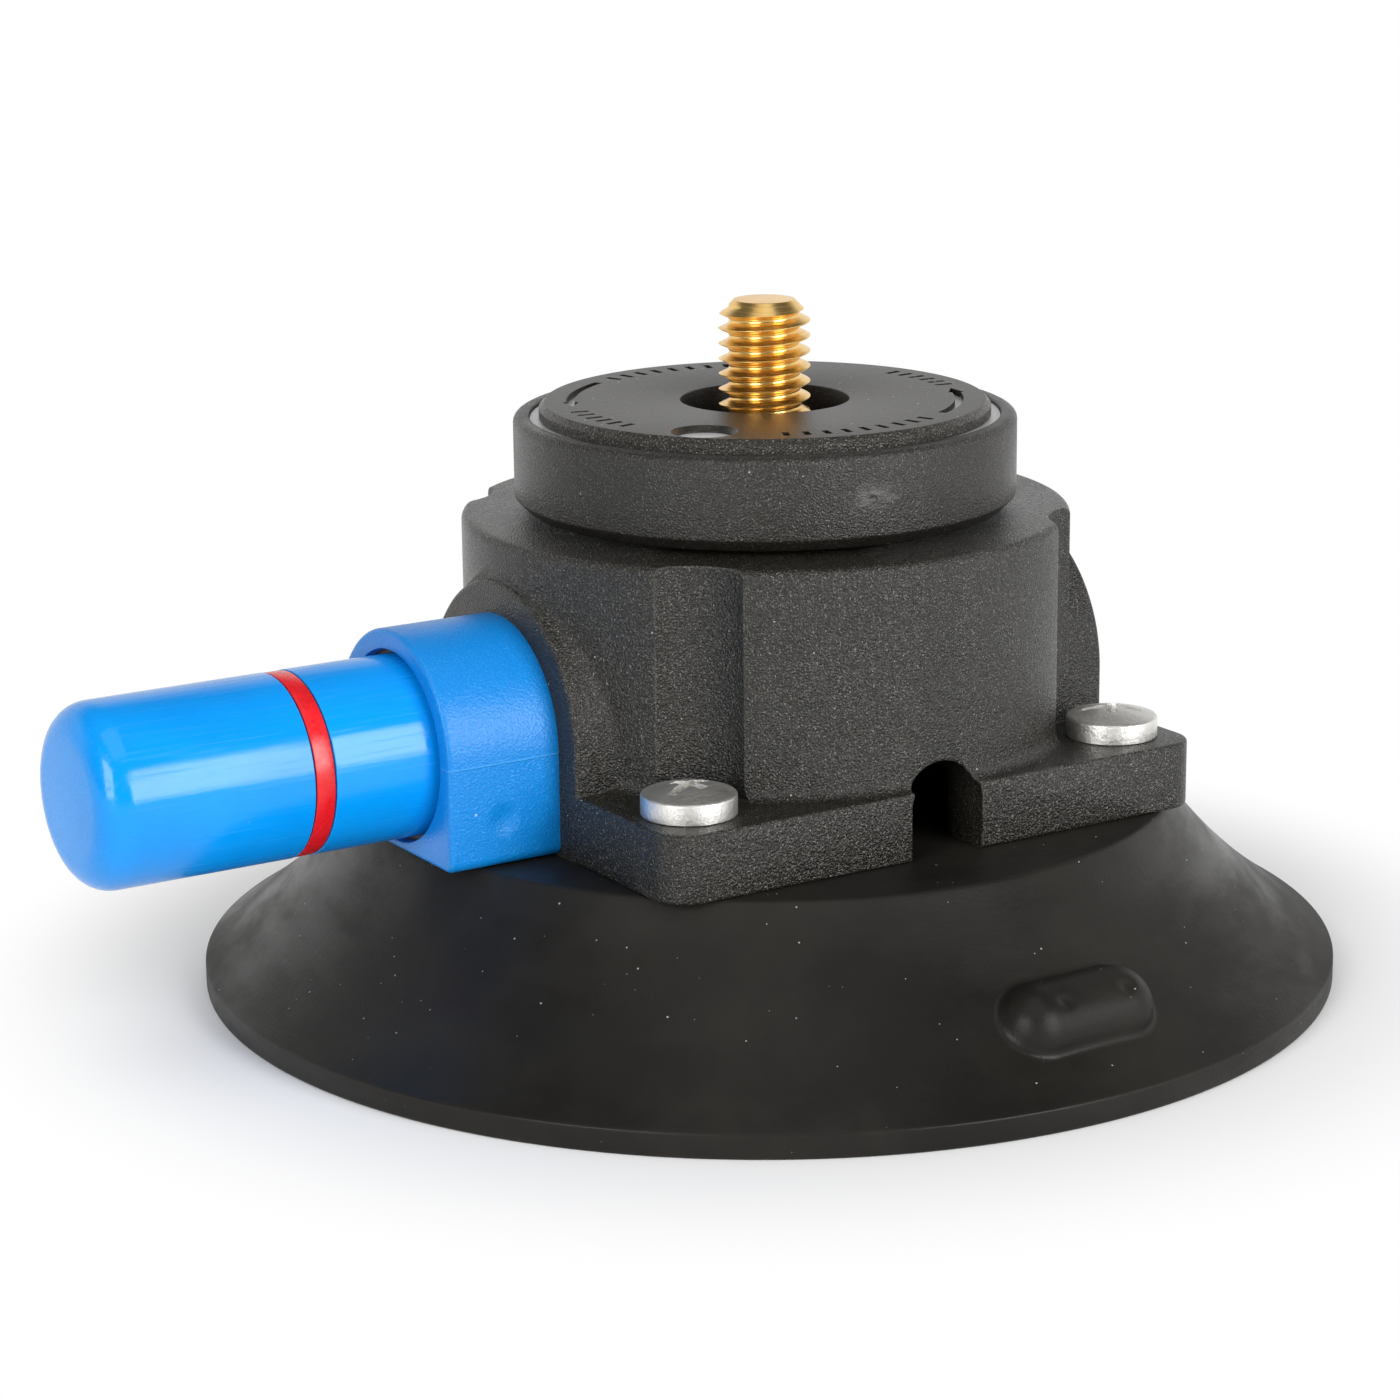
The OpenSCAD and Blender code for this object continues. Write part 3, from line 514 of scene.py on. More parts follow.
def soft(name, colour, rough, grain=1500.0, depth=0.00003):
    material, tree = newMaterial(name)
    base = clouded(tree, 200.0, tuple(c * 0.8 for c in colour), colour)
    rough = remap(tree, noise(tree, grain, 2.0), 0.3, 0.7, rough - 0.06, rough + 0.06)
    return dressed(material, base, rough, bump(tree, noise(tree, grain, 3.0), depth))


discFinish = {
    'colour': (0.0190, 0.0160, 0.0120), 'paintedGlintColour': (0.30, 0.29, 0.27), 'bevelFrom': 0.02292,
    'rough': 0.38, 'bevelGloss': -0.06, 'specular': 0.42, 'paintedGlintAmounts': (0.12, 0.5), 'heights': (0.7, 2.0),
    'depth': 0.00008,
}


def makeDiscPlastic():
    # the face is finely matt, the bevel round it coarse; both carry painted glints, pale flecks of colour,
    # thickest on the bevel
    s = discFinish
    material, tree = newMaterial('discPlastic')
    x, y, _ = axes(tree, objectPoint(tree))
    bevel = calc(tree, 'GREATER_THAN', distance(tree, x, y), s['bevelFrom'])
    fine = effect(tree, mouldGrain, Scale=4200.0, Coarse=0.2)
    rough = effect(tree, mouldGrain, Scale=4400.0, Coarse=0.6)
    specks = effect(tree, dustSpecks, Scale=1000.0, Size=0.09, Share=0.35)
    onFace, onBevel = s['paintedGlintAmounts']
    paintedGlints = calc(tree, 'ADD', times(tree, fine['PaintedGlintAndGloss'], onFace),
                   times(tree, times(tree, rough['PaintedGlintAndGloss'], bevel), onBevel), clamp=True)
    base = mixColour(tree, paintedGlints, s['colour'], s['paintedGlintColour'])
    base = mixColour(tree, specks['Mask'], base, paleDust)
    onFace, onBevel = s['heights']
    height = plus(tree, times(tree, fine['Height'], onFace),
                  times(tree, times(tree, rough['Height'], bevel), onBevel))
    return dressed(material, base, plus(tree, s['rough'], times(tree, bevel, s['bevelGloss'])),
                   bump(tree, height, s['depth']), s['specular'])


rubberFinish = {
    'dark': (0.0080, 0.0072, 0.0060), 'pale': (0.0170, 0.0155, 0.0125), 'wornAndHighlightColour': (0.070, 0.058, 0.046),
    'dust': (0.34, 0.33, 0.31), 'rough': (0.30, 0.58), 'specular': 0.22, 'depth': 0.000018,
}


def makeRubber():
    s = rubberFinish
    material, tree = newMaterial('padRubber')
    texture = effect(tree, mouldGrain, Scale=2600.0, Coarse=0.6)
    wipes = noise(tree, 26.0, 5.0, 0.65, (1.0, 1.0, 4.0))
    wornAndHighlitEdges = effect(tree, edgeWearAndHighlight, Radius=0.0005, Amount=0.75, Patch=240.0)
    specks = effect(tree, dustSpecks, Scale=1000.0, Size=0.085, Share=0.24)
    base = mixColour(tree, wornAndHighlitEdges['Mask'], clouded(tree, 38.0, s['dark'], s['pale']), s['wornAndHighlightColour'])
    base = mixColour(tree, specks['Mask'], base, s['dust'])
    return dressed(material, base, remap(tree, wipes, 0.32, 0.68, *s['rough']),
                   bump(tree, texture['Height'], s['depth']), s['specular'])


plungerFinish = {
    'dark': (0.0, 0.272, 0.80), 'pale': (0.0, 0.300, 0.85), 'rough': (0.12, 0.36), 'specular': 0.42,
    'depth': 0.000008,
}


def makePlungerBlue():
    # glossy, with fine scratches along its travel
    s = plungerFinish
    material, tree = newMaterial('plungerBlue')
    scratches = noise(tree, 1.0, 3.0, 0.7, (60.0, 2600.0, 2600.0))
    specks = effect(tree, dustSpecks, Scale=200.0, Size=0.035, Share=0.15)
    base = mixColour(tree, specks['Mask'], clouded(tree, 90.0, s['dark'], s['pale']), blueDust)
    return dressed(material, base, remap(tree, scratches, 0.42, 0.72, *s['rough']),
                   bump(tree, scratches, s['depth']), s['specular'])


collarFinish = {
    'colour': (0.002, 0.215, 0.64), 'paintedGlintColour': (0.02, 0.28, 0.74), 'seamColour': (0.10, 0.44, 0.95),
    'seam': (0.0302, 0.00005, 0.00014), 'sink': (-0.0386, 0.0244, 0.0001, 0.0021), 'sinkDepth': 4.5,
    'rough': (0.28, 0.36), 'specular': 0.38, 'seamHeight': 0.00006, 'depth': 0.00007,
}


def makeCollarBlue():
    # satin, with painted glints as paler blue flecks on its grain, the mould's parting line at the height of
    # the pump's axis and a sink mark below it
    s = collarFinish
    material, tree = newMaterial('collarBlue')
    texture = effect(tree, mouldGrain, Scale=3900.0, Coarse=0.2)
    specks = effect(tree, dustSpecks, Scale=260.0, Size=0.04, Share=0.2)
    x, _, z = axes(tree, objectPoint(tree))
    seamZ, seamFrom, seamTo = s['seam']
    off = calc(tree, 'ABSOLUTE', calc(tree, 'SUBTRACT', z, seamZ))
    seam = remap(tree, off, seamFrom, seamTo, 1.0, 0.0)
    sinkX, sinkZ, sinkFrom, sinkTo = s['sink']
    away = distance(tree, calc(tree, 'SUBTRACT', x, sinkX), calc(tree, 'SUBTRACT', z, sinkZ))
    sink = remap(tree, away, sinkFrom, sinkTo)
    base = mixColour(tree, texture['PaintedGlintAndGloss'], s['colour'], s['paintedGlintColour'])
    base = mixColour(tree, times(tree, seam, 0.35), base, s['seamColour'])
    base = mixColour(tree, specks['Mask'], base, blueDust)
    line = bump(tree, plus(tree, seam, times(tree, sink, s['sinkDepth'])), s['seamHeight'])
    return dressed(material, base, remap(tree, noise(tree, 120.0, 3.0), 0.3, 0.7, *s['rough']),
                   bump(tree, texture['Height'], s['depth'], line), s['specular'])


def makeBand():
    material, tree = newMaterial('redBand')
    return dressed(material, clouded(tree, 250.0, (0.60, 0.006, 0.011), (0.76, 0.012, 0.020)),
                   remap(tree, noise(tree, 1800.0, 3.0), 0.3, 0.7, 0.18, 0.34),
                   bump(tree, noise(tree, 2200.0, 2.0), 0.00001))


def makeBrass():
    # turned brass: fine tool marks run round the stud
    material, tree = newMaterial('turnedBrass')
    marks = noise(tree, 1.0, 2.0, 0.7, (40.0, 40.0, 9000.0))
    return dressed(material, clouded(tree, 260.0, (0.84, 0.510, 0.160), (0.94, 0.640, 0.235)),
                   remap(tree, marks, 0.3, 0.75, 0.22, 0.34), bump(tree, marks, 0.000012), metallic=1.0)


finishes = {
    'housing': moulded('housingPlastic', housingFinish),
    'knob': moulded('knobPlastic', knobFinish),
    'disc': makeDiscPlastic(),
    'rubber': makeRubber(),
    'plungerBlue': makePlungerBlue(),
    'collarBlue': makeCollarBlue(),
    'band': makeBand(),
    'brass': makeBrass(),
    'zinc': metal('brightZinc', (0.84, 0.83, 0.79), 0.46, 2400.0, 0.00006, 0.26, 0.85),
    'clampMetal': metal('clampMetal', (0.70, 0.70, 0.70), 0.42, 2200.0, tint=0.92, metallic=0.35),
    'insertSteel': metal('insertSteel', (0.60, 0.60, 0.60), 0.38),
    'screenSteel': metal('screenSteel', (0.66, 0.66, 0.65), 0.30, 2400.0, 0.000008),
    'darkSteel': metal('darkSteel', (0.22, 0.22, 0.23), 0.40),
    'springSteel': metal('springSteel', (0.50, 0.50, 0.52), 0.28, 1.0, 0.000006, stretch=(4000, 900, 900)),
    'foam': soft('filterFoam', (0.20, 0.20, 0.21), 0.90, 2600.0, 0.0002),
    'silicone': soft('valveSilicone', (0.52, 0.09, 0.03), 0.45),
    'nitrile': soft('sealNitrile', (0.018, 0.018, 0.018), 0.42),
    'nylon': soft('washerNylon', (0.72, 0.71, 0.66), 0.50),
}
print("materials:", len(finishes))


padShape = {
    'rim': 60.2, 'height': 19.5, 'top': 42.3, 'lip': 2.5, 'dip': 1.3, 'seal': 3.8,
    'ceilingHeight': 9.0, 'ceilingRadius': 44.0, 'ribs': (39.6, 31.68), 'rib': 1.0, 'steps': 320,
    'plateRoom': (42.0, 14.5, 17.5), 'filterRoom': (8.05, 7.1, 12.1), 'screwRoom': (2.75, 16.6, 20.6),
}
nubShape = {
    'radius': 4.2, 'length': 17.8, 'proud': 3.0, 'out': 53.0, 'bearing': -88.0, 'fillet': 0.6,
    'pits': (-3.1, 4.5), 'pitRadius': 0.75, 'pitDepth': 0.35,
    'finer': (12.2, 7.4), 'lifted': (12.0, 7.2), 'skin': 2.5, 'mostLift': 5.0,
}


def skirtPoint(t):
    p = padShape
    run = Vector((p['rim'] - p['top'], p['lip'] - p['height']))
    side = Vector((run.y, -run.x)).normalized()
    return Vector((p['top'], p['height'])) + run * t + side * 4 * p['dip'] * t * (1 - t)


def padProfile():
    p = padShape
    outside = [(0, p['height']), (p['top'], p['height'], 0.7)]
    outside += [tuple(skirtPoint(i / 30)) for i in range(1, 30)]
    outside += [(p['rim'], p['lip'], 0.28), (p['rim'], 0, 0.3), (p['rim'] - p['seal'], 0, 0.25),
                (p['ceilingRadius'], p['ceilingHeight'], 1.0)]
    path = roundedPath(outside + [(p['ribs'][0] + 2, p['ceilingHeight'])])
    for r in p['ribs']:
        path += [Vector((r + p['rib'] * cos(a * pi / 8), p['ceilingHeight'] - p['rib'] * sin(a * pi / 8)))
                 for a in range(9)]
    return path + [Vector((0, p['ceilingHeight']))]


def raiseNub(pad):
    # the skirt's mesh is made finer round the nub, then drawn out over a capsule with a soft foot
    n = nubShape
    bearing = radians(n['bearing'])
    outward = Vector((cos(bearing), sin(bearing), 0))
    along = Vector((-sin(bearing), cos(bearing), 0))
    t = (n['out'] - padShape['top']) / (padShape['rim'] - padShape['top'])
    foot = skirtPoint(t)
    slope = (skirtPoint(t + 0.02) - skirtPoint(t - 0.02)).normalized()
    normal = (outward * -slope.y + Vector((0, 0, slope.x))).normalized()
    centre = np.array(outward * foot.x + Vector((0, 0, foot.y)))
    down = np.array(normal.cross(along))
    along, normal = np.array(along), np.array(normal)

    def near(points, reach):
        off = points - centre
        return (abs(off @ along) < reach[0]) & (abs(off @ down) < reach[1]) & (abs(off @ normal) < n['skin'])

    edit(pad)
    choose(pad, 'FACE', lambda f: near(np.array(middle(f)), n['finer']) and f.normal.z > 0.2)
    bpy.ops.mesh.subdivide(number_cuts=3)
    done()
    half = n['length'] / 2 - n['radius']
    core = centre - normal * (n['radius'] - n['proud'])
    places = np.array([v.co for v in pad.data.vertices])
    close = near(places, n['lifted']) & (places[:, 2] > 1)
    start = places[close]
    low, high = np.zeros(len(start)), np.full(len(start), n['mostLift'])
    for _ in range(20):
        lift = (low + high) / 2
        point = start + lift[:, None] * normal - core
        onAxis = np.clip(point @ along, -half, half)[:, None] * along
        capsule = np.linalg.norm(point - onAxis, axis=1) - n['radius']
        for where in n['pits']:
            pit = along * where + normal * n['radius']
            capsule += n['pitDepth'] * np.exp(-(np.linalg.norm(point - pit, axis=1) / n['pitRadius']) ** 2)
        mix = np.clip(0.5 + 0.5 * (capsule - lift) / n['fillet'], 0, 1)
        surface = capsule * (1 - mix) + lift * mix - n['fillet'] * mix * (1 - mix)
        high = np.where(surface > 0, lift, high)
        low = np.where(surface > 0, low, lift)
    places[close] = start + low[:, None] * normal
    pad.data.vertices.foreach_set('co', places.ravel())
    pad.data.update()


def makePad():
    # with room inside for the steel plate, the filter and the flange screws
    p = padShape
    pad = turned('suctionPad', padProfile(), p['steps'])
    raiseNub(pad)
    carve(pad, upright('plateRoom', *p['plateRoom'], sides=128))
    carve(pad, upright('filterRoom', *p['filterRoom'], portX))
    for x, y in screwPlaces:
        carve(pad, upright('screwRoom', *p['screwRoom'], x, y, 48))
    finished(pad, 'base', 'pad_rubber', 'rubber', 'vacuum_pad', smooth=50)


makePad()
print("suction pad done")


housingShape = {
    'halfX': 32.2, 'halfY': 33.0, 'low': 19.5, 'flangeTop': 26.45, 'corner': 3.6, 'flangeEdge': 0.35,
    'body': 31.8, 'top': 49.5, 'edge': 0.8, 'foot': 1.3, 'scallop': 6.85, 'screwHole': (2.75, 10.0, 30.0),
    'boss': 15.2, 'bossFrom': -32.25, 'bossTo': 33.0, 'bossEdge': 0.5,
    'fillet': 1.8, 'filletSink': 0.04, 'filletRoot': 0.8, 'filletDrop': 6.0, 'filletTuck': 9.0,
    'barrel': (10.65, -33.5, 30.5), 'cap': (12.05, 30.5, 35.5), 'vent': (4.3, 29.0, -35.05, -13.05),
    'pocket': (27.45, 46.1), 'wallY': 13.05, 'ribX': 10.98, 'rib': 1.6,
    'bearingRoom': (8.0, 31.5, 43.5), 'bearing': (5.05, 35.0, 65.0),
}


def roundedBox(name, low, high):
    h = housingShape
    obj = block(name, (2 * h['halfX'], 2 * h['halfY'], high - low), (0, 0, (low + high) / 2))
    edit(obj)
    choose(obj, 'EDGE', lambda e: abs(e.verts[0].co.z - e.verts[1].co.z) > 1)
    bpy.ops.mesh.bevel(offset=h['corner'], segments=10, affect='EDGES', clamp_overlap=False)
    done()
    return obj


def bossFillet(side):
    # a ball rolled over the boss and down its sides: the soft corner to the body, closed inside it
    h = housingShape
    f, drop, root = h['fillet'], h['filletDrop'], h['filletRoot']
    boss, body = h['boss'] - h['filletSink'], h['body'] - h['filletSink']
    reach = (h['bossTo'] if side > 0 else -h['bossFrom']) - h['bossEdge'] - h['filletSink']
    route = [(radians(a), 0, 0) for a in range(0, 181, 3)]
    route += [(pi, drop * part / 4, 0) for part in (1, 2, 3, 4)]
    route += [(radians(a), drop, h['filletTuck']) for a in range(190, 351, 10)]
    route += [(0, drop * part / 4, 0) for part in (4, 3, 2, 1)]
    arcSteps, rings = 8, []
    for a, lowered, tuck in route:
        y = (boss + f) * cos(a)
        z = pumpZ - lowered + (sin(a) if lowered else (boss + f) * sin(a))
        outX = sqrt((body + f) ** 2 - y * y)
        centre = Vector((side * (outX + tuck * sin(a)), y, z))
        offBoss = Vector((0, cos(a), sin(a)))
        offBody = Vector((side * outX, y, 0)).normalized()
        ring = [centre - offBoss.slerp(offBody, k / arcSteps) * f for k in range(arcSteps + 1)]
        ring += [ring[-1] - offBody * root, centre - (offBoss + offBody) * (f + root),
                 ring[0] - offBoss * root]
        rings.append([Vector((side * min(side * p.x, reach), p.y, p.z)) for p in ring])
    around, across = len(rings), len(rings[0])
    clearSelection()
    bpy.ops.mesh.primitive_torus_add(major_segments=around, minor_segments=across,
                                     major_radius=10, minor_radius=1)
    strip = added('bossFillet')
    for v in strip.data.vertices:
        i = round(atan2(v.co.y, v.co.x) / (2 * pi) * around) % around
        j = round(atan2(v.co.z, hypot(v.co.x, v.co.y) - 10) / (2 * pi) * across) % across
        v.co = rings[i][j]
    tidyMesh(strip, 0.0001)
    return strip


def makeHousing():
    h = housingShape
    wide, flangeTop = h['body'] + h['foot'], h['flangeTop']
    path = [(0, h['low'] + 1), (wide, h['low'] + 1), (wide, flangeTop)]
    path += [(h['body'] + h['foot'] * (1 - sin(a * pi / 12)), flangeTop + h['foot'] * (1 - cos(a * pi / 12)))
             for a in range(1, 7)]
    path += [(h['body'], h['top'], h['edge']), (0, h['top'])]
    housing = turned('pumpHousing', roundedPath(path), 192)
    carve(housing, roundedBox('outline', h['low'], h['top'] + 5), 'INTERSECT')
    flange = roundedBox('flange', h['low'], flangeTop)
    bevelEdges(flange, h['flangeEdge'], 3, 60)
    carve(housing, flange, 'UNION')
    boss = arched('boss', h['boss'], h['bossFrom'], h['bossTo'], h['low'] - 2)
    bevelEdges(boss, h['bossEdge'], 3, 60)
    edit(boss)
    cutPlane((0, 0, h['low']), (0, 0, 1))
    done()
    carve(housing, boss, 'UNION')
    for side in (-1, 1):
        carve(housing, bossFillet(side), 'UNION')
    for x, y in screwPlaces:
        carve(housing, upright('scallop', h['scallop'], flangeTop, flangeTop + 30, x, y, 96))
        carve(housing, upright('screwHole', *h['screwHole'], x, y, 48))
    return housing


def hollowHousing(housing):
    h = housingShape
    low = h['low'] - 1
    carve(housing, arched('channel', *h['barrel'], low))
    carve(housing, arched('capRoom', *h['cap'], low))
    radius, top, start, end = h['vent']
    carve(housing, arched('vent', radius, start, end, low, top - radius, across=True))
    radius, high = h['pocket']
    inner, outer = h['ribX'] - h['rib'] / 2, h['ribX'] + h['rib'] / 2
    for side in (-1, 1):
        for start, end in ((-30, -outer), (-inner, inner), (outer, 30)):
            pocket = upright('pocket', radius, low, high, sides=128)
            edit(pocket)
            cutPlane((start, 0, 0), (1, 0, 0))
            cutPlane((end, 0, 0), (-1, 0, 0))
            cutPlane((0, side * h['wallY'], 0), (0, side, 0))
            done()
            carve(housing, pocket)
    for name in ('bearingRoom', 'bearing'):
        carve(housing, upright(name, *h[name]))


def makeHousingPiece():
    housing = makeHousing()
    hollowHousing(housing)
    finished(housing, 'base', 'housing_plastic', 'housing', 'pump_housing', smooth=30)


makeHousingPiece()
print("pump housing done")


screwShape = {
    'turns': (24, 70, -38, 12), 'seat': 26.45, 'head': 4.75, 'height': 3.1, 'shank': 2.45, 'low': 11.7,
    'chamfer': 0.5, 'edge': 0.08, 'cross': (5.2, 1.5, 1.7), 'crossTaper': 0.55, 'slot': (6.6, 1.0, 0.75),
    'slotTaper': 0.92,
    'crown': ((1, 0.60), (0.993, 0.645), (0.975, 0.675), (0.945, 0.695), (0.90, 0.715),
              (0.62, 0.835), (0.52, 0.875), (0.40, 0.92), (0.26, 0.96), (0, 0.98)),
}


def taperedArm(name, size, top, taper, turn):
    # one arm of a driver recess, narrower towards its floor
    arm = block(name, (size[0], size[1], size[2] * 2), (0, 0, 0))
    edit(arm)
    choose(arm, 'FACE', lambda f: f.normal.z < -0.9)
    bpy.ops.transform.resize(value=(taper, taper, 1), center_override=(0, 0, 0))
    done()
    pick(arm)
    arm.rotation_euler = (0, 0, radians(turn))
    arm.location = (0, 0, top)
    settle()
    return arm


def makeFlangeScrews():
    s = screwShape
    path = [(0, s['low']), (s['shank'] - s['chamfer'], s['low']), (s['shank'], s['low'] + s['chamfer']),
            (s['shank'], s['seat']), (s['head'] - 0.1, s['seat']), (s['head'], s['seat'] + 0.1)]
    path += [(s['head'] * r, s['seat'] + s['height'] * z) for r, z in s['crown']]
    screw = turned('flangeScrew', path, 96)
    top = s['seat'] + s['height']
    carve(screw, taperedArm('armA', s['cross'], top, s['crossTaper'], 0))
    carve(screw, taperedArm('armB', s['cross'], top, s['crossTaper'], 90))
    carve(screw, taperedArm('slot', s['slot'], top, s['slotTaper'], 0))
    copies = [copied(screw, (x, y, 0), (0, 0, radians(turn)))
              for (x, y), turn in zip(screwPlaces, s['turns'])]
    bpy.data.objects.remove(screw)
    screws = joined(copies, 'flangeScrews')
    bevelEdges(screws, s['edge'], 2, 50)
    finished(screws, 'base', 'screw_zinc', 'zinc', 'flange_screws', smooth=40)


makeFlangeScrews()
print("flange screws done")


barrelShape = {
    'collar': 11.84, 'collarFrom': -44.6, 'collarTo': -32.2, 'edge': 0.5, 'corner': 1.2, 'flat': 19.6,
    'tube': 10.6, 'tubeTo': 27.3, 'mouth': 9.76, 'cone': ((0.44, -2), (0.44, -0.06), (0.09, 0.09), (0, 0.3)),
    'wiper': (10.21, 1.2), 'mouthDepth': 3.4, 'guide': 9.34, 'stop': -18.3, 'bore': 9.55, 'boreTo': 24.5,
    'post': 4.7, 'postLength': 2.0, 'screwHole': (1.1, 22.5, 27.5), 'screwY': 7.4,
    'portHole': (1.5, 17.5, 22.5),
}


def dBar(name, radius, start, end, flat, edge, corner):
    # round above, with upright sides and rounded corners down to the flat, and a soft edge at its start
    bar = arched(name, radius, min(start, end), max(start, end), flat)
    edit(bar)
    choose(bar, 'EDGE', lambda e: abs(middle(e).z - flat) < 0.001
           and abs(e.verts[0].co.x - e.verts[1].co.x) > 1)
    bpy.ops.mesh.bevel(offset=corner, segments=6, affect='EDGES', clamp_overlap=False)
    choose(bar, 'EDGE', lambda e: all(abs(v.co.x - start) < 0.001 for v in e.verts))
    bpy.ops.mesh.bevel(offset=edge, segments=5, affect='EDGES', clamp_overlap=False)
    selectAll()
    bpy.ops.mesh.remove_doubles(threshold=0.001)
    faceOutwards()
    done()
    return bar


def makeBarrel():
    b = barrelShape
    front, mouth = b['collarFrom'], b['mouth']
    barrel = dBar('pumpBarrel', b['collar'], front, b['collarTo'], b['flat'], b['edge'], b['corner'])
    carve(barrel, arched('tube', b['tube'], b['collarTo'] - 2, b['tubeTo'], b['flat']), 'UNION')
    # the passage is one turned core: mouth, wiper groove, guide, bore and the post that centres the spring
    groove, start = b['wiper']
    depth, postFrom = front + b['mouthDepth'], b['boreTo'] - b['postLength']
    core = [(0, front - 2)] + [(mouth + out, front + x) for out, x in b['cone']]
    core += [(mouth, front + start), (groove, front + start), (groove, depth), (b['guide'], depth),
             (b['guide'], b['stop']), (b['bore'], b['stop']), (b['bore'], b['boreTo']),
             (b['post'], b['boreTo']), (b['post'], postFrom), (0, postFrom)]
    carve(barrel, turned('core', core, 160, alongPump=True))
    for y in (-b['screwY'], b['screwY']):
        carve(barrel, lengthwise('capScrewHole', *b['screwHole'], y, 32))
    carve(barrel, upright('portHole', *b['portHole'], portX, sides=32))
    finished(barrel, 'base', 'barrel_plastic', 'collarBlue', 'pump_barrel')


makeBarrel()
print("pump barrel done")


plungerShape = {
    'tip': -79.5, 'radius': 9.26, 'edge': 3.4, 'groove': (-57.7, -55.4, 0.5), 'grooveEdge': 0.08,
    'seat': -18.0, 'neck': 8.1, 'end': -9.5, 'bore': 6.9, 'boreFrom': -76.0, 'boreEdge': 0.4,
    'bandGap': 0.16, 'bandEdge': 0.06, 'bandSink': 0.05,
}


def makePlunger():
    p = plungerShape
    start, end, depth = p['groove']
    r, soft = p['radius'], p['grooveEdge']
    path = roundedPath([(0, p['tip']), (r, p['tip'], p['edge']), (r, start, soft), (r - depth, start),
                        (r - depth, end), (r, end, soft), (r, p['seat']), (p['neck'], p['seat']),
                        (p['neck'], p['end']), (p['bore'], p['end']),
                        (p['bore'], p['boreFrom'], p['boreEdge']), (0, p['boreFrom'])], 8)
    plunger = turned('pumpPlunger', path, 192, alongPump=True)
    finished(plunger, 'plunger_rod', 'plunger_plastic', 'plungerBlue', 'plunger')


def makeVacuumLine():
    p = plungerShape
    start, end, depth = p['groove']
    start, end = start + p['bandGap'], end - p['bandGap']
    outer, inner = p['radius'] - p['bandSink'], p['radius'] - depth
    path = roundedPath([(inner, start), (outer, start, p['bandEdge']),
                        (outer, end, p['bandEdge']), (inner, end)], 3)
    band = turned('vacuumLine', path, 192, alongPump=True, closed=True)
    finished(band, 'plunger_rod', 'line_plastic', 'band', 'vacuum_line')


makePlunger()
makeVacuumLine()
print("plunger done")


springShape = {
    'radius': 5.6, 'wire': 1.1, 'from': -75.45, 'to': 23.95, 'turns': 20, 'endPitch': 1.7, 'perTurn': 36,
}


def makeSpring():
    s = springShape
    openTurns = s['turns'] - 2
    openPitch = (s['to'] - s['from'] - 2 * s['endPitch']) / openTurns
    points = []
    for i in range(s['turns'] * s['perTurn'] + 1):
        # the first and the last turn are wound close
        u = i / s['perTurn']
        closeTurns = min(u, 1) + max(0, u - openTurns - 1)
        x = s['from'] + closeTurns * s['endPitch'] + max(0, min(u - 1, openTurns)) * openPitch
        points.append((x, s['radius'] * cos(2 * pi * u), pumpZ + s['radius'] * sin(2 * pi * u)))
    curve = bpy.data.curves.new('pumpSpring', 'CURVE')
    curve.dimensions = '3D'
    curve.bevel_depth = s['wire'] / 2
    curve.bevel_resolution = 3
    curve.use_fill_caps = True
    line = curve.splines.new('POLY')
    line.points.add(len(points) - 1)
    for point, place in zip(line.points, points):
        point.co = (*place, 1)
    spring = bpy.data.objects.new('pumpSpring', curve)
    bpy.context.collection.objects.link(spring)
    pick(spring)
    bpy.ops.object.convert(target='MESH')
    spring = bpy.context.object
    finished(spring, 'base', 'spring_steel', 'springSteel', 'pump_spring', smooth=60)
    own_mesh(spring)


makeSpring()
print("pump spring done")


capShape = {
    'radius': 12.0, 'from': 30.5, 'to': 33.0, 'flat': 19.6, 'edge': 0.3, 'skirt': (9.4, 10.6, 27.3),
    'overlap': 0.5, 'screwY': 7.4, 'post': (2.2, 27.3, 30.8), 'screwWay': (1.15, 23.3, 37.3),
    'counterbore': (2.1, 1.4), 'slot': (8.0, 7.0, 1.3), 'slotPitch': 2.86, 'shank': 1.1, 'shankFrom': 25.0,
    'head': 2.0, 'headHeight': 1.2, 'headRound': 0.75, 'cross': (2.4, 0.5, 0.7), 'crossTaper': 0.6,
}


def makeEndCap():
    c = capShape
    cap = dBar('endCap', c['radius'], c['to'], c['from'], c['flat'], c['edge'], c['edge'])
    inner, outer, start = c['skirt']
    end = c['from'] + c['overlap']
    ring = [(inner, start), (outer, start), (outer, end), (inner, end)]
    carve(cap, turned('skirt', ring, 128, alongPump=True, closed=True), 'UNION')
    radius, depth = c['counterbore']
    for y in (-c['screwY'], c['screwY']):
        carve(cap, lengthwise('post', *c['post'], y), 'UNION')
        carve(cap, lengthwise('counterbore', radius, c['to'] - depth, c['to'] + depth, y))
        carve(cap, lengthwise('screwWay', *c['screwWay'], y, 32))
    for i in (-1, 0, 1):
        carve(cap, block('slot', c['slot'], (c['to'], 0, pumpZ + i * c['slotPitch'])))
    finished(cap, 'base', 'housing_plastic', 'housing', 'end_cap', smooth=30)


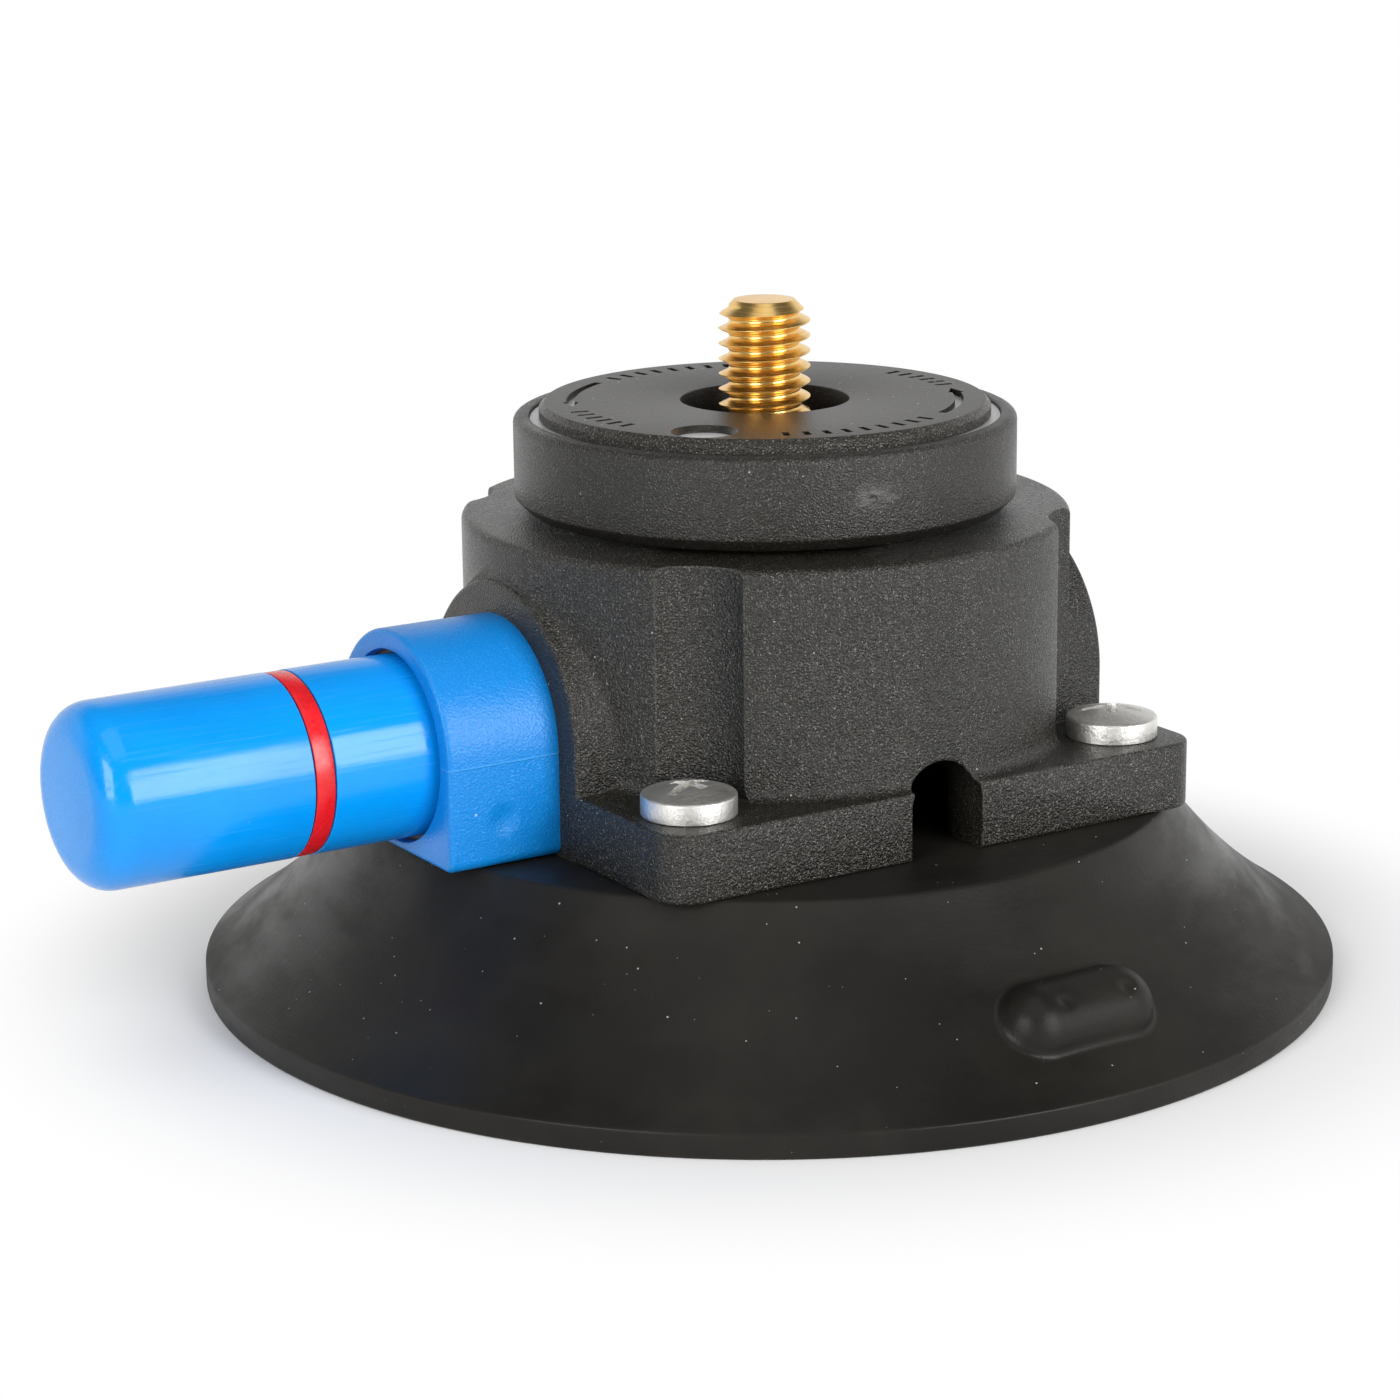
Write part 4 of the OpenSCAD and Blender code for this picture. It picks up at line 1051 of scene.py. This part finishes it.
def makeCapScrews():
    c = capShape
    seat = c['to'] - c['counterbore'][1]
    low = c['shankFrom'] - seat
    path = roundedPath([(0, low), (c['shank'], low), (c['shank'], 0), (c['head'], 0),
                        (c['head'], c['headHeight'], c['headRound']), (0, c['headHeight'])], 8)
    screw = turned('capScrew', path, 48)
    for name, turn in (('armA', 20), ('armB', 110)):
        carve(screw, taperedArm(name, c['cross'], c['headHeight'], c['crossTaper'], turn))
    pair = [copied(screw, (seat, y, pumpZ), (0, radians(90), 0)) for y in (-c['screwY'], c['screwY'])]
    bpy.data.objects.remove(screw)
    finished(joined(pair, 'capScrews'), 'base', 'screw_zinc', 'zinc', 'cap_screws', smooth=40)


makeEndCap()
makeCapScrews()
print("end cap done")


knobShape = {
    'radius': 26.2, 'low': 50.0, 'top': 59.55, 'bevel': 1.2, 'edge': 0.8, 'bowl': 24.5, 'bowlFloor': 57.15,
    'inner': 22.5, 'webLow': 54.05, 'hub': 12.0, 'hubLow': 50.25, 'bore': 5.0, 'shank': 4.6025,
    'ribs': 6, 'rib': (1.6, 4.05), 'screws': 3, 'screwOut': 16.0, 'screwHole': (1.45, 54.65, 59.65),
    'gate': (-99.0, 54.9, 0.40, 0.15),
}


def atBearing(radius, bearing, z):
    return radius * cos(bearing), radius * sin(bearing), z


def hexagonCutter(name):
    h = hexagon
    return upright(name, h['wide'] / sqrt(3), h['low'], h['top'], sides=6, turn=radians(30))


def makeKnob():
    k = knobShape
    step, bore, hub, inner, out = hexagon['low'] + 1, k['bore'], k['hub'], k['inner'], k['radius']
    path = roundedPath([(bore, step), (bore, k['hubLow'], 0.2), (hub, k['hubLow'], 0.3),
                        (hub, k['webLow'], 0.8), (inner, k['webLow'], 0.8), (inner, k['low'], 0.2),
                        (out - k['bevel'], k['low'], 0.3), (out, k['low'] + k['bevel'], 0.3),
                        (out, k['top'], k['edge']), (k['bowl'], k['top'], 0.25), (k['bowl'], k['bowlFloor']),
                        (k['shank'], k['bowlFloor']), (k['shank'], step)])
    knob = turned('lockKnob', path, 256, closed=True)
    wide, high = k['rib']
    for i in range(k['ribs']):
        a = 2 * pi * i / k['ribs']
        at = atBearing((hub + inner) / 2, a, k['low'] + 1 + high / 2)
        carve(knob, block('rib', (inner - hub + 1, wide, high), at, (0, 0, a)), 'UNION')
    carve(knob, hexagonCutter('hexRoom'))
    for i in range(k['screws']):
        x, y, _ = atBearing(k['screwOut'], 2 * pi * i / k['screws'], 0)
        carve(knob, upright('screwHole', *k['screwHole'], x, y, 32))
    # the small round mark where the plastic came in
    bearing, z, radius, depth = k['gate']
    a = radians(bearing)
    carve(knob, cylinder('gate', radius, 2 * depth, atBearing(out, a, z), (0, radians(90), a), 32))
    finished(knob, 'turning_knob', 'knob_plastic', 'knob', 'lock_knob')


makeKnob()
print("lock knob done")


discShape = {
    'radius': 23.5, 'low': 59.2, 'top': 60.8, 'bevel': 0.6, 'hole': 8.8, 'collar': 11.4, 'collarLow': 57.15,
    'skinLow': 60.15, 'rimInner': 21.9, 'edge': 0.12, 'sight': (-141.0, 19.4, 2.9, 3.4, 0.5),
    'arrows': ((-60.0, -26.0), (118.0, 152.0)), 'arrowOut': 20.2, 'arrowWide': 0.9,
    'headWide': 1.7, 'headLong': 2.6,
    'ticks': ((-117.0, -70.0, 9), (168.0, 194.0, 6), (63.0, 110.0, 9), (-12.0, 14.0, 6)),
    'tickOut': (19.3, 21.2), 'tickWide': 0.7, 'tickDeep': 0.3,
}


def arrowCutter(start, end):
    # a flat curved arrow drawn at the disc's underside and pulled up through it
    d = discShape
    steps, r, w, head = 14, d['arrowOut'], d['arrowWide'] / 2, d['headWide'] / 2
    bearings = [radians(start + (end - start) * i / steps) for i in range(steps + 1)]
    last, tip = bearings[-1], radians(end) + atan2(d['headLong'], r)
    outline = [(r - w, a) for a in bearings] + [(r - head, last), (r, tip), (r + head, last)]
    outline += [(r + w, a) for a in reversed(bearings)]
    points = [atBearing(radius, a, d['low'] - 1) for radius, a in outline]
    arrow = drawLine('arrow', points + [points[0]])
    tidyMesh(arrow)
    edit(arrow)
    selectAll()
    bpy.ops.mesh.edge_face_add()
    bpy.ops.mesh.quads_convert_to_tris()
    extrude((0, 0, 4))
    faceOutwards()
    done()
    return arrow


def makeDisc():
    d = discShape
    hole, collar, rim, out, edge = d['hole'], d['collar'], d['rimInner'], d['radius'], d['edge']
    path = roundedPath([(hole, d['collarLow']), (collar, d['collarLow'], 0.2), (collar, d['skinLow']),
                        (rim, d['skinLow']), (rim, d['low']), (out, d['low'], 0.1),
                        (out, d['top'] - d['bevel'], edge), (out - d['bevel'], d['top'], edge),
                        (hole, d['top'], edge), (hole, d['collarLow'] + 0.5)], 3)
    disc = turned('knobDisc', path, 256, closed=True)
    bearing, away, radius, wide, sink = d['sight']
    x, y, top = atBearing(away, radians(bearing), d['top'])
    carve(disc, upright('sight', radius, top - 4, top + 2, x, y))
    clearSelection()
    bpy.ops.mesh.primitive_cone_add(vertices=64, radius1=radius, radius2=2 * wide - radius, depth=2 * sink,
                                    location=(x, y, top))
    carve(disc, added('countersink'))
    for start, end in d['arrows']:
        carve(disc, arrowCutter(start, end))
    near, far = d['tickOut']
    for start, end, count in d['ticks']:
        for i in range(count):
            a = radians(start + (end - start) * i / (count - 1))
            carve(disc, block('tick', (far - near, d['tickWide'], 2 * d['tickDeep']),
                              atBearing((near + far) / 2, a, top), (0, 0, a)))
    finished(disc, 'turning_knob', 'disc_plastic', 'disc', 'knob_disc')


makeDisc()
print("cover disc done")


studShape = {
    'radius': 4.7625, 'root': 3.66, 'rootArc': ((0, 0), (0.14, 0.025), (0.26, 0.11), (0.35, 0.25)),
    'crest': 0.73, 'crestRound': (0.04, 0.03), 'pitch': 1.5875, 'phase': 0.5, 'turns': 12,
    'threadLow': 58.0, 'top': 71.15, 'bevel': 1.6, 'bevelOut': (6.0, 2.84), 'edge': 0.12,
    'low': 41.3, 'journal': 5.0, 'journalEdge': 0.3, 'groove': (3.9, 41.9, 42.5), 'hexEdge': 0.2,
    'shank': 4.6,
}


def makeThread():
    s = studShape
    p = s['pitch']
    # one turn's outline: half of the round root, two straight flanks with a narrow crest, the other half
    shave, step = s['crestRound']
    rise = [(s['root'] + out, z) for z, out in s['rootArc']]
    rise += [(s['radius'] - shave, s['crest']), (s['radius'], s['crest'] + step)]
    outline = rise + [(r, p - z) for r, z in reversed(rise)]
    start = s['threadLow'] - 2 * p + s['phase'] * p
    thread = drawLine('thread', [(r, 0, start + z) for r, z in outline])
    mod = thread.modifiers.new('screw', 'SCREW')
    mod.axis = 'Z'
    mod.angle = 2 * pi
    mod.screw_offset = p
    mod.iterations = s['turns']
    mod.steps = 72
    mod.render_steps = 72
    mod.use_merge_vertices = True
    mod.merge_threshold = 0.001
    pick(thread)
    bpy.ops.object.modifier_apply(modifier=mod.name)
    tidyMesh(thread, 0.002)
    edit(thread)
    cutPlane((0, 0, s['threadLow']), (0, 0, 1))
    cutPlane((0, 0, s['top'] + 0.5), (0, 0, -1))
    faceOutwards()
    done()
    # the chamfered outline that the thread runs out in
    wide, drop = s['bevelOut']
    path = roundedPath([(0, s['threadLow'] - 1), (wide, s['threadLow'] - 1), (wide, s['top'] - drop),
                        (s['radius'] - s['bevel'], s['top'], s['edge']), (0, s['top'])], 3)
    carve(thread, turned('envelope', path, 144), 'INTERSECT')
    return thread


def makeStud():
    s = studShape
    journal, shank, step, low = s['journal'], s['shank'], hexagon['low'] + 1, s['threadLow'] + 0.1
    groove, grooveLow, grooveTop = s['groove']
    path = roundedPath([(0, s['low']), (journal, s['low'], s['journalEdge']), (journal, grooveLow),
                        (groove, grooveLow), (groove, grooveTop), (journal, grooveTop), (journal, step),
                        (shank, step), (shank, low), (0, low)], 3)
    stud = turned('mountingStud', path, 96)
    nut = hexagonCutter('hexagon')
    bevelEdges(nut, s['hexEdge'], 2, 30)
    carve(stud, nut, 'UNION')
    carve(stud, makeThread(), 'UNION')
    finished(stud, 'turning_knob', 'stud_brass', 'brass', 'mounting_stud', smooth=40)


makeStud()
print("mounting stud done")


# finishes of the exact parts that stay as they are
keptParts = {
    'insert_plate': 'insertSteel', 'weld_nuts': 'insertSteel', 'retaining_washer': 'insertSteel',
    'filter_screen': 'screenSteel', 'foam_filter': 'foam', 'intake_valve': 'silicone',
    'exhaust_valve': 'silicone', 'port_seal': 'nitrile', 'wiper_ring': 'nitrile', 'piston_seal': 'nitrile',
    'piston_head': 'housing', 'thrust_washer': 'nylon', 'clamp_plate': 'clampMetal',
    'clamp_screws': 'darkSteel', 'retaining_clip': 'darkSteel',
}

for name, finish in keptParts.items():
    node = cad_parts[name]
    if not node.material_slots:
        node.data.materials.append(finishes[finish])
    for entry in node.material_slots:
        entry.material = finishes[finish]
print("kept parts:", len(keptParts))


# Azimuths are turned from -Y towards +X; sizes and places are in metres.
stageShape = {
    'floor': 8.0, 'floorColour': (0.93, 0.93, 0.93), 'floorRough': 0.9, 'floorSpecular': 0.1,
    'fadeFrom': 0.054, 'fadeTo': 0.088,
    'ambient': 0.30, 'backGlow': 1.0, 'frontGlow': 0.10, 'topGlow': 0.12, 'back': (0.545, 0.839),
    'backFade': (-0.35, 0.25), 'topFade': (0.40, 0.72),
    'boxes': (
        {'name': 'boxRight', 'azimuth': 17, 'size': (0.75, 0.88), 'radiance': 7.6},
        {'name': 'boxLeft', 'azimuth': -66, 'size': (0.60, 0.88), 'radiance': 6.2},
    ),
    'boxElevation': 19, 'boxDistance': 1.4, 'boxAim': (-0.005, 0, 0.035),
    'top': {'place': (-0.30, -0.45, 1.6), 'size': 1.3, 'radiance': 0.9},
}
cameraShape = {
    'sensor': 36, 'lens': 97.33, 'clip': (0.01, 50), 'out': 0.38858, 'height': 0.13088,
    'azimuth': -32.96, 'yaw': 1.04, 'pitch': 14.78, 'roll': -0.61,
}


def placed(name, data):
    obj = bpy.data.objects.new(name, data)
    bpy.context.collection.objects.link(obj)
    return obj


def makeFloor():
    # plain and shaded under the object, pure white further out for what the camera or a reflection sees
    s = stageShape
    clearSelection()
    bpy.ops.mesh.primitive_plane_add(size=s['floor'], location=(0, 0, 0))
    floor = added('floor')
    material, tree = newMaterial('paleFloor')
    dressed(material, (*s['floorColour'], 1), s['floorRough'], None, s['floorSpecular'])
    x, y, _ = axes(tree, objectPoint(tree))
    path = tree.nodes.new('ShaderNodeLightPath').outputs
    seen = calc(tree, 'MAXIMUM', path['Is Camera Ray'], path['Is Glossy Ray'])
    seen = calc(tree, 'MAXIMUM', seen, path['Is Transmission Ray'])
    glow = times(tree, remap(tree, distance(tree, x, y), s['fadeFrom'], s['fadeTo']), seen)
    white = tree.nodes.new('ShaderNodeEmission')
    mix = tree.nodes.new('ShaderNodeMixShader')
    for i, output in enumerate((glow, tree.nodes['Principled BSDF'].outputs[0], white.outputs[0])):
        tree.links.new(output, mix.inputs[i])
    tree.links.new(mix.outputs[0], tree.nodes['Material Output'].inputs['Surface'])
    floor.data.materials.append(material)


def makeWorld():
    # white to the camera; reflections see it bright behind the object, dim in front and overhead
    s = stageShape
    world = bpy.data.worlds.new('studio')
    bpy.context.scene.world = world
    world.use_nodes = True
    tree = world.node_tree
    path = tree.nodes.new('ShaderNodeLightPath').outputs
    x, y, z = axes(tree, tree.nodes.new('ShaderNodeTexCoord').outputs['Generated'])
    ahead = plus(tree, times(tree, x, s['back'][0]), times(tree, y, s['back'][1]))
    mirrored = remap(tree, ahead, *s['backFade'], s['frontGlow'], s['backGlow'])
    high = remap(tree, z, *s['topFade'])
    mirrored = plus(tree, mirrored, times(tree, high, calc(tree, 'SUBTRACT', s['topGlow'], mirrored)))
    glossy = calc(tree, 'MAXIMUM', path['Is Glossy Ray'], path['Is Transmission Ray'])
    extra = times(tree, glossy, calc(tree, 'SUBTRACT', mirrored, s['ambient']))
    level = calc(tree, 'MAXIMUM', plus(tree, s['ambient'], extra), path['Is Camera Ray'])
    background = tree.nodes['Background']
    background.inputs['Color'].default_value = (1, 1, 1, 1)
    tree.links.new(level, background.inputs['Strength'])


def makeLights():
    s = stageShape
    for b in s['boxes']:
        a, e = radians(b['azimuth']), radians(s['boxElevation'])
        way = Vector((sin(a) * cos(e), -cos(a) * cos(e), sin(e)))
        width, height = b['size']
        data = bpy.data.lights.new(b['name'], 'AREA')
        data.shape = 'RECTANGLE'
        data.size, data.size_y = width, height
        data.energy = b['radiance'] * pi * width * height
        lamp = placed(b['name'], data)
        lamp.location = Vector(s['boxAim']) + way * s['boxDistance']
        lamp.rotation_euler = (-way).to_track_quat('-Z', 'Y').to_euler()
    top = s['top']
    data = bpy.data.lights.new('boxTop', 'AREA')
    data.size = top['size']
    data.energy = top['radiance'] * pi * top['size'] ** 2
    placed('boxTop', data).location = top['place']


def makeCamera():
    c = cameraShape
    data = bpy.data.cameras.new('camera')
    data.sensor_width = c['sensor']
    data.lens = c['lens']
    data.clip_start, data.clip_end = c['clip']
    camera = placed('camera', data)
    azimuth, pitch, roll = radians(c['azimuth']), radians(c['pitch']), radians(c['roll'])
    heading = azimuth + radians(c['yaw'])
    ahead = Vector((-sin(heading) * cos(pitch), cos(heading) * cos(pitch), -sin(pitch)))
    level = ahead.cross(Vector((0, 0, 1))).normalized()
    upward = level.cross(ahead)
    right = level * cos(roll) + upward * sin(roll)
    up = upward * cos(roll) - level * sin(roll)
    place = Vector((sin(azimuth) * c['out'], -cos(azimuth) * c['out'], c['height']))
    turn = Matrix((right, up, -ahead)).transposed().to_4x4()
    camera.matrix_world = Matrix.Translation(place) @ turn
    bpy.context.scene.camera = camera


makeFloor()
makeWorld()
makeLights()
makeCamera()
bpy.context.scene.view_settings.view_transform = 'Standard'
print("stage ready")
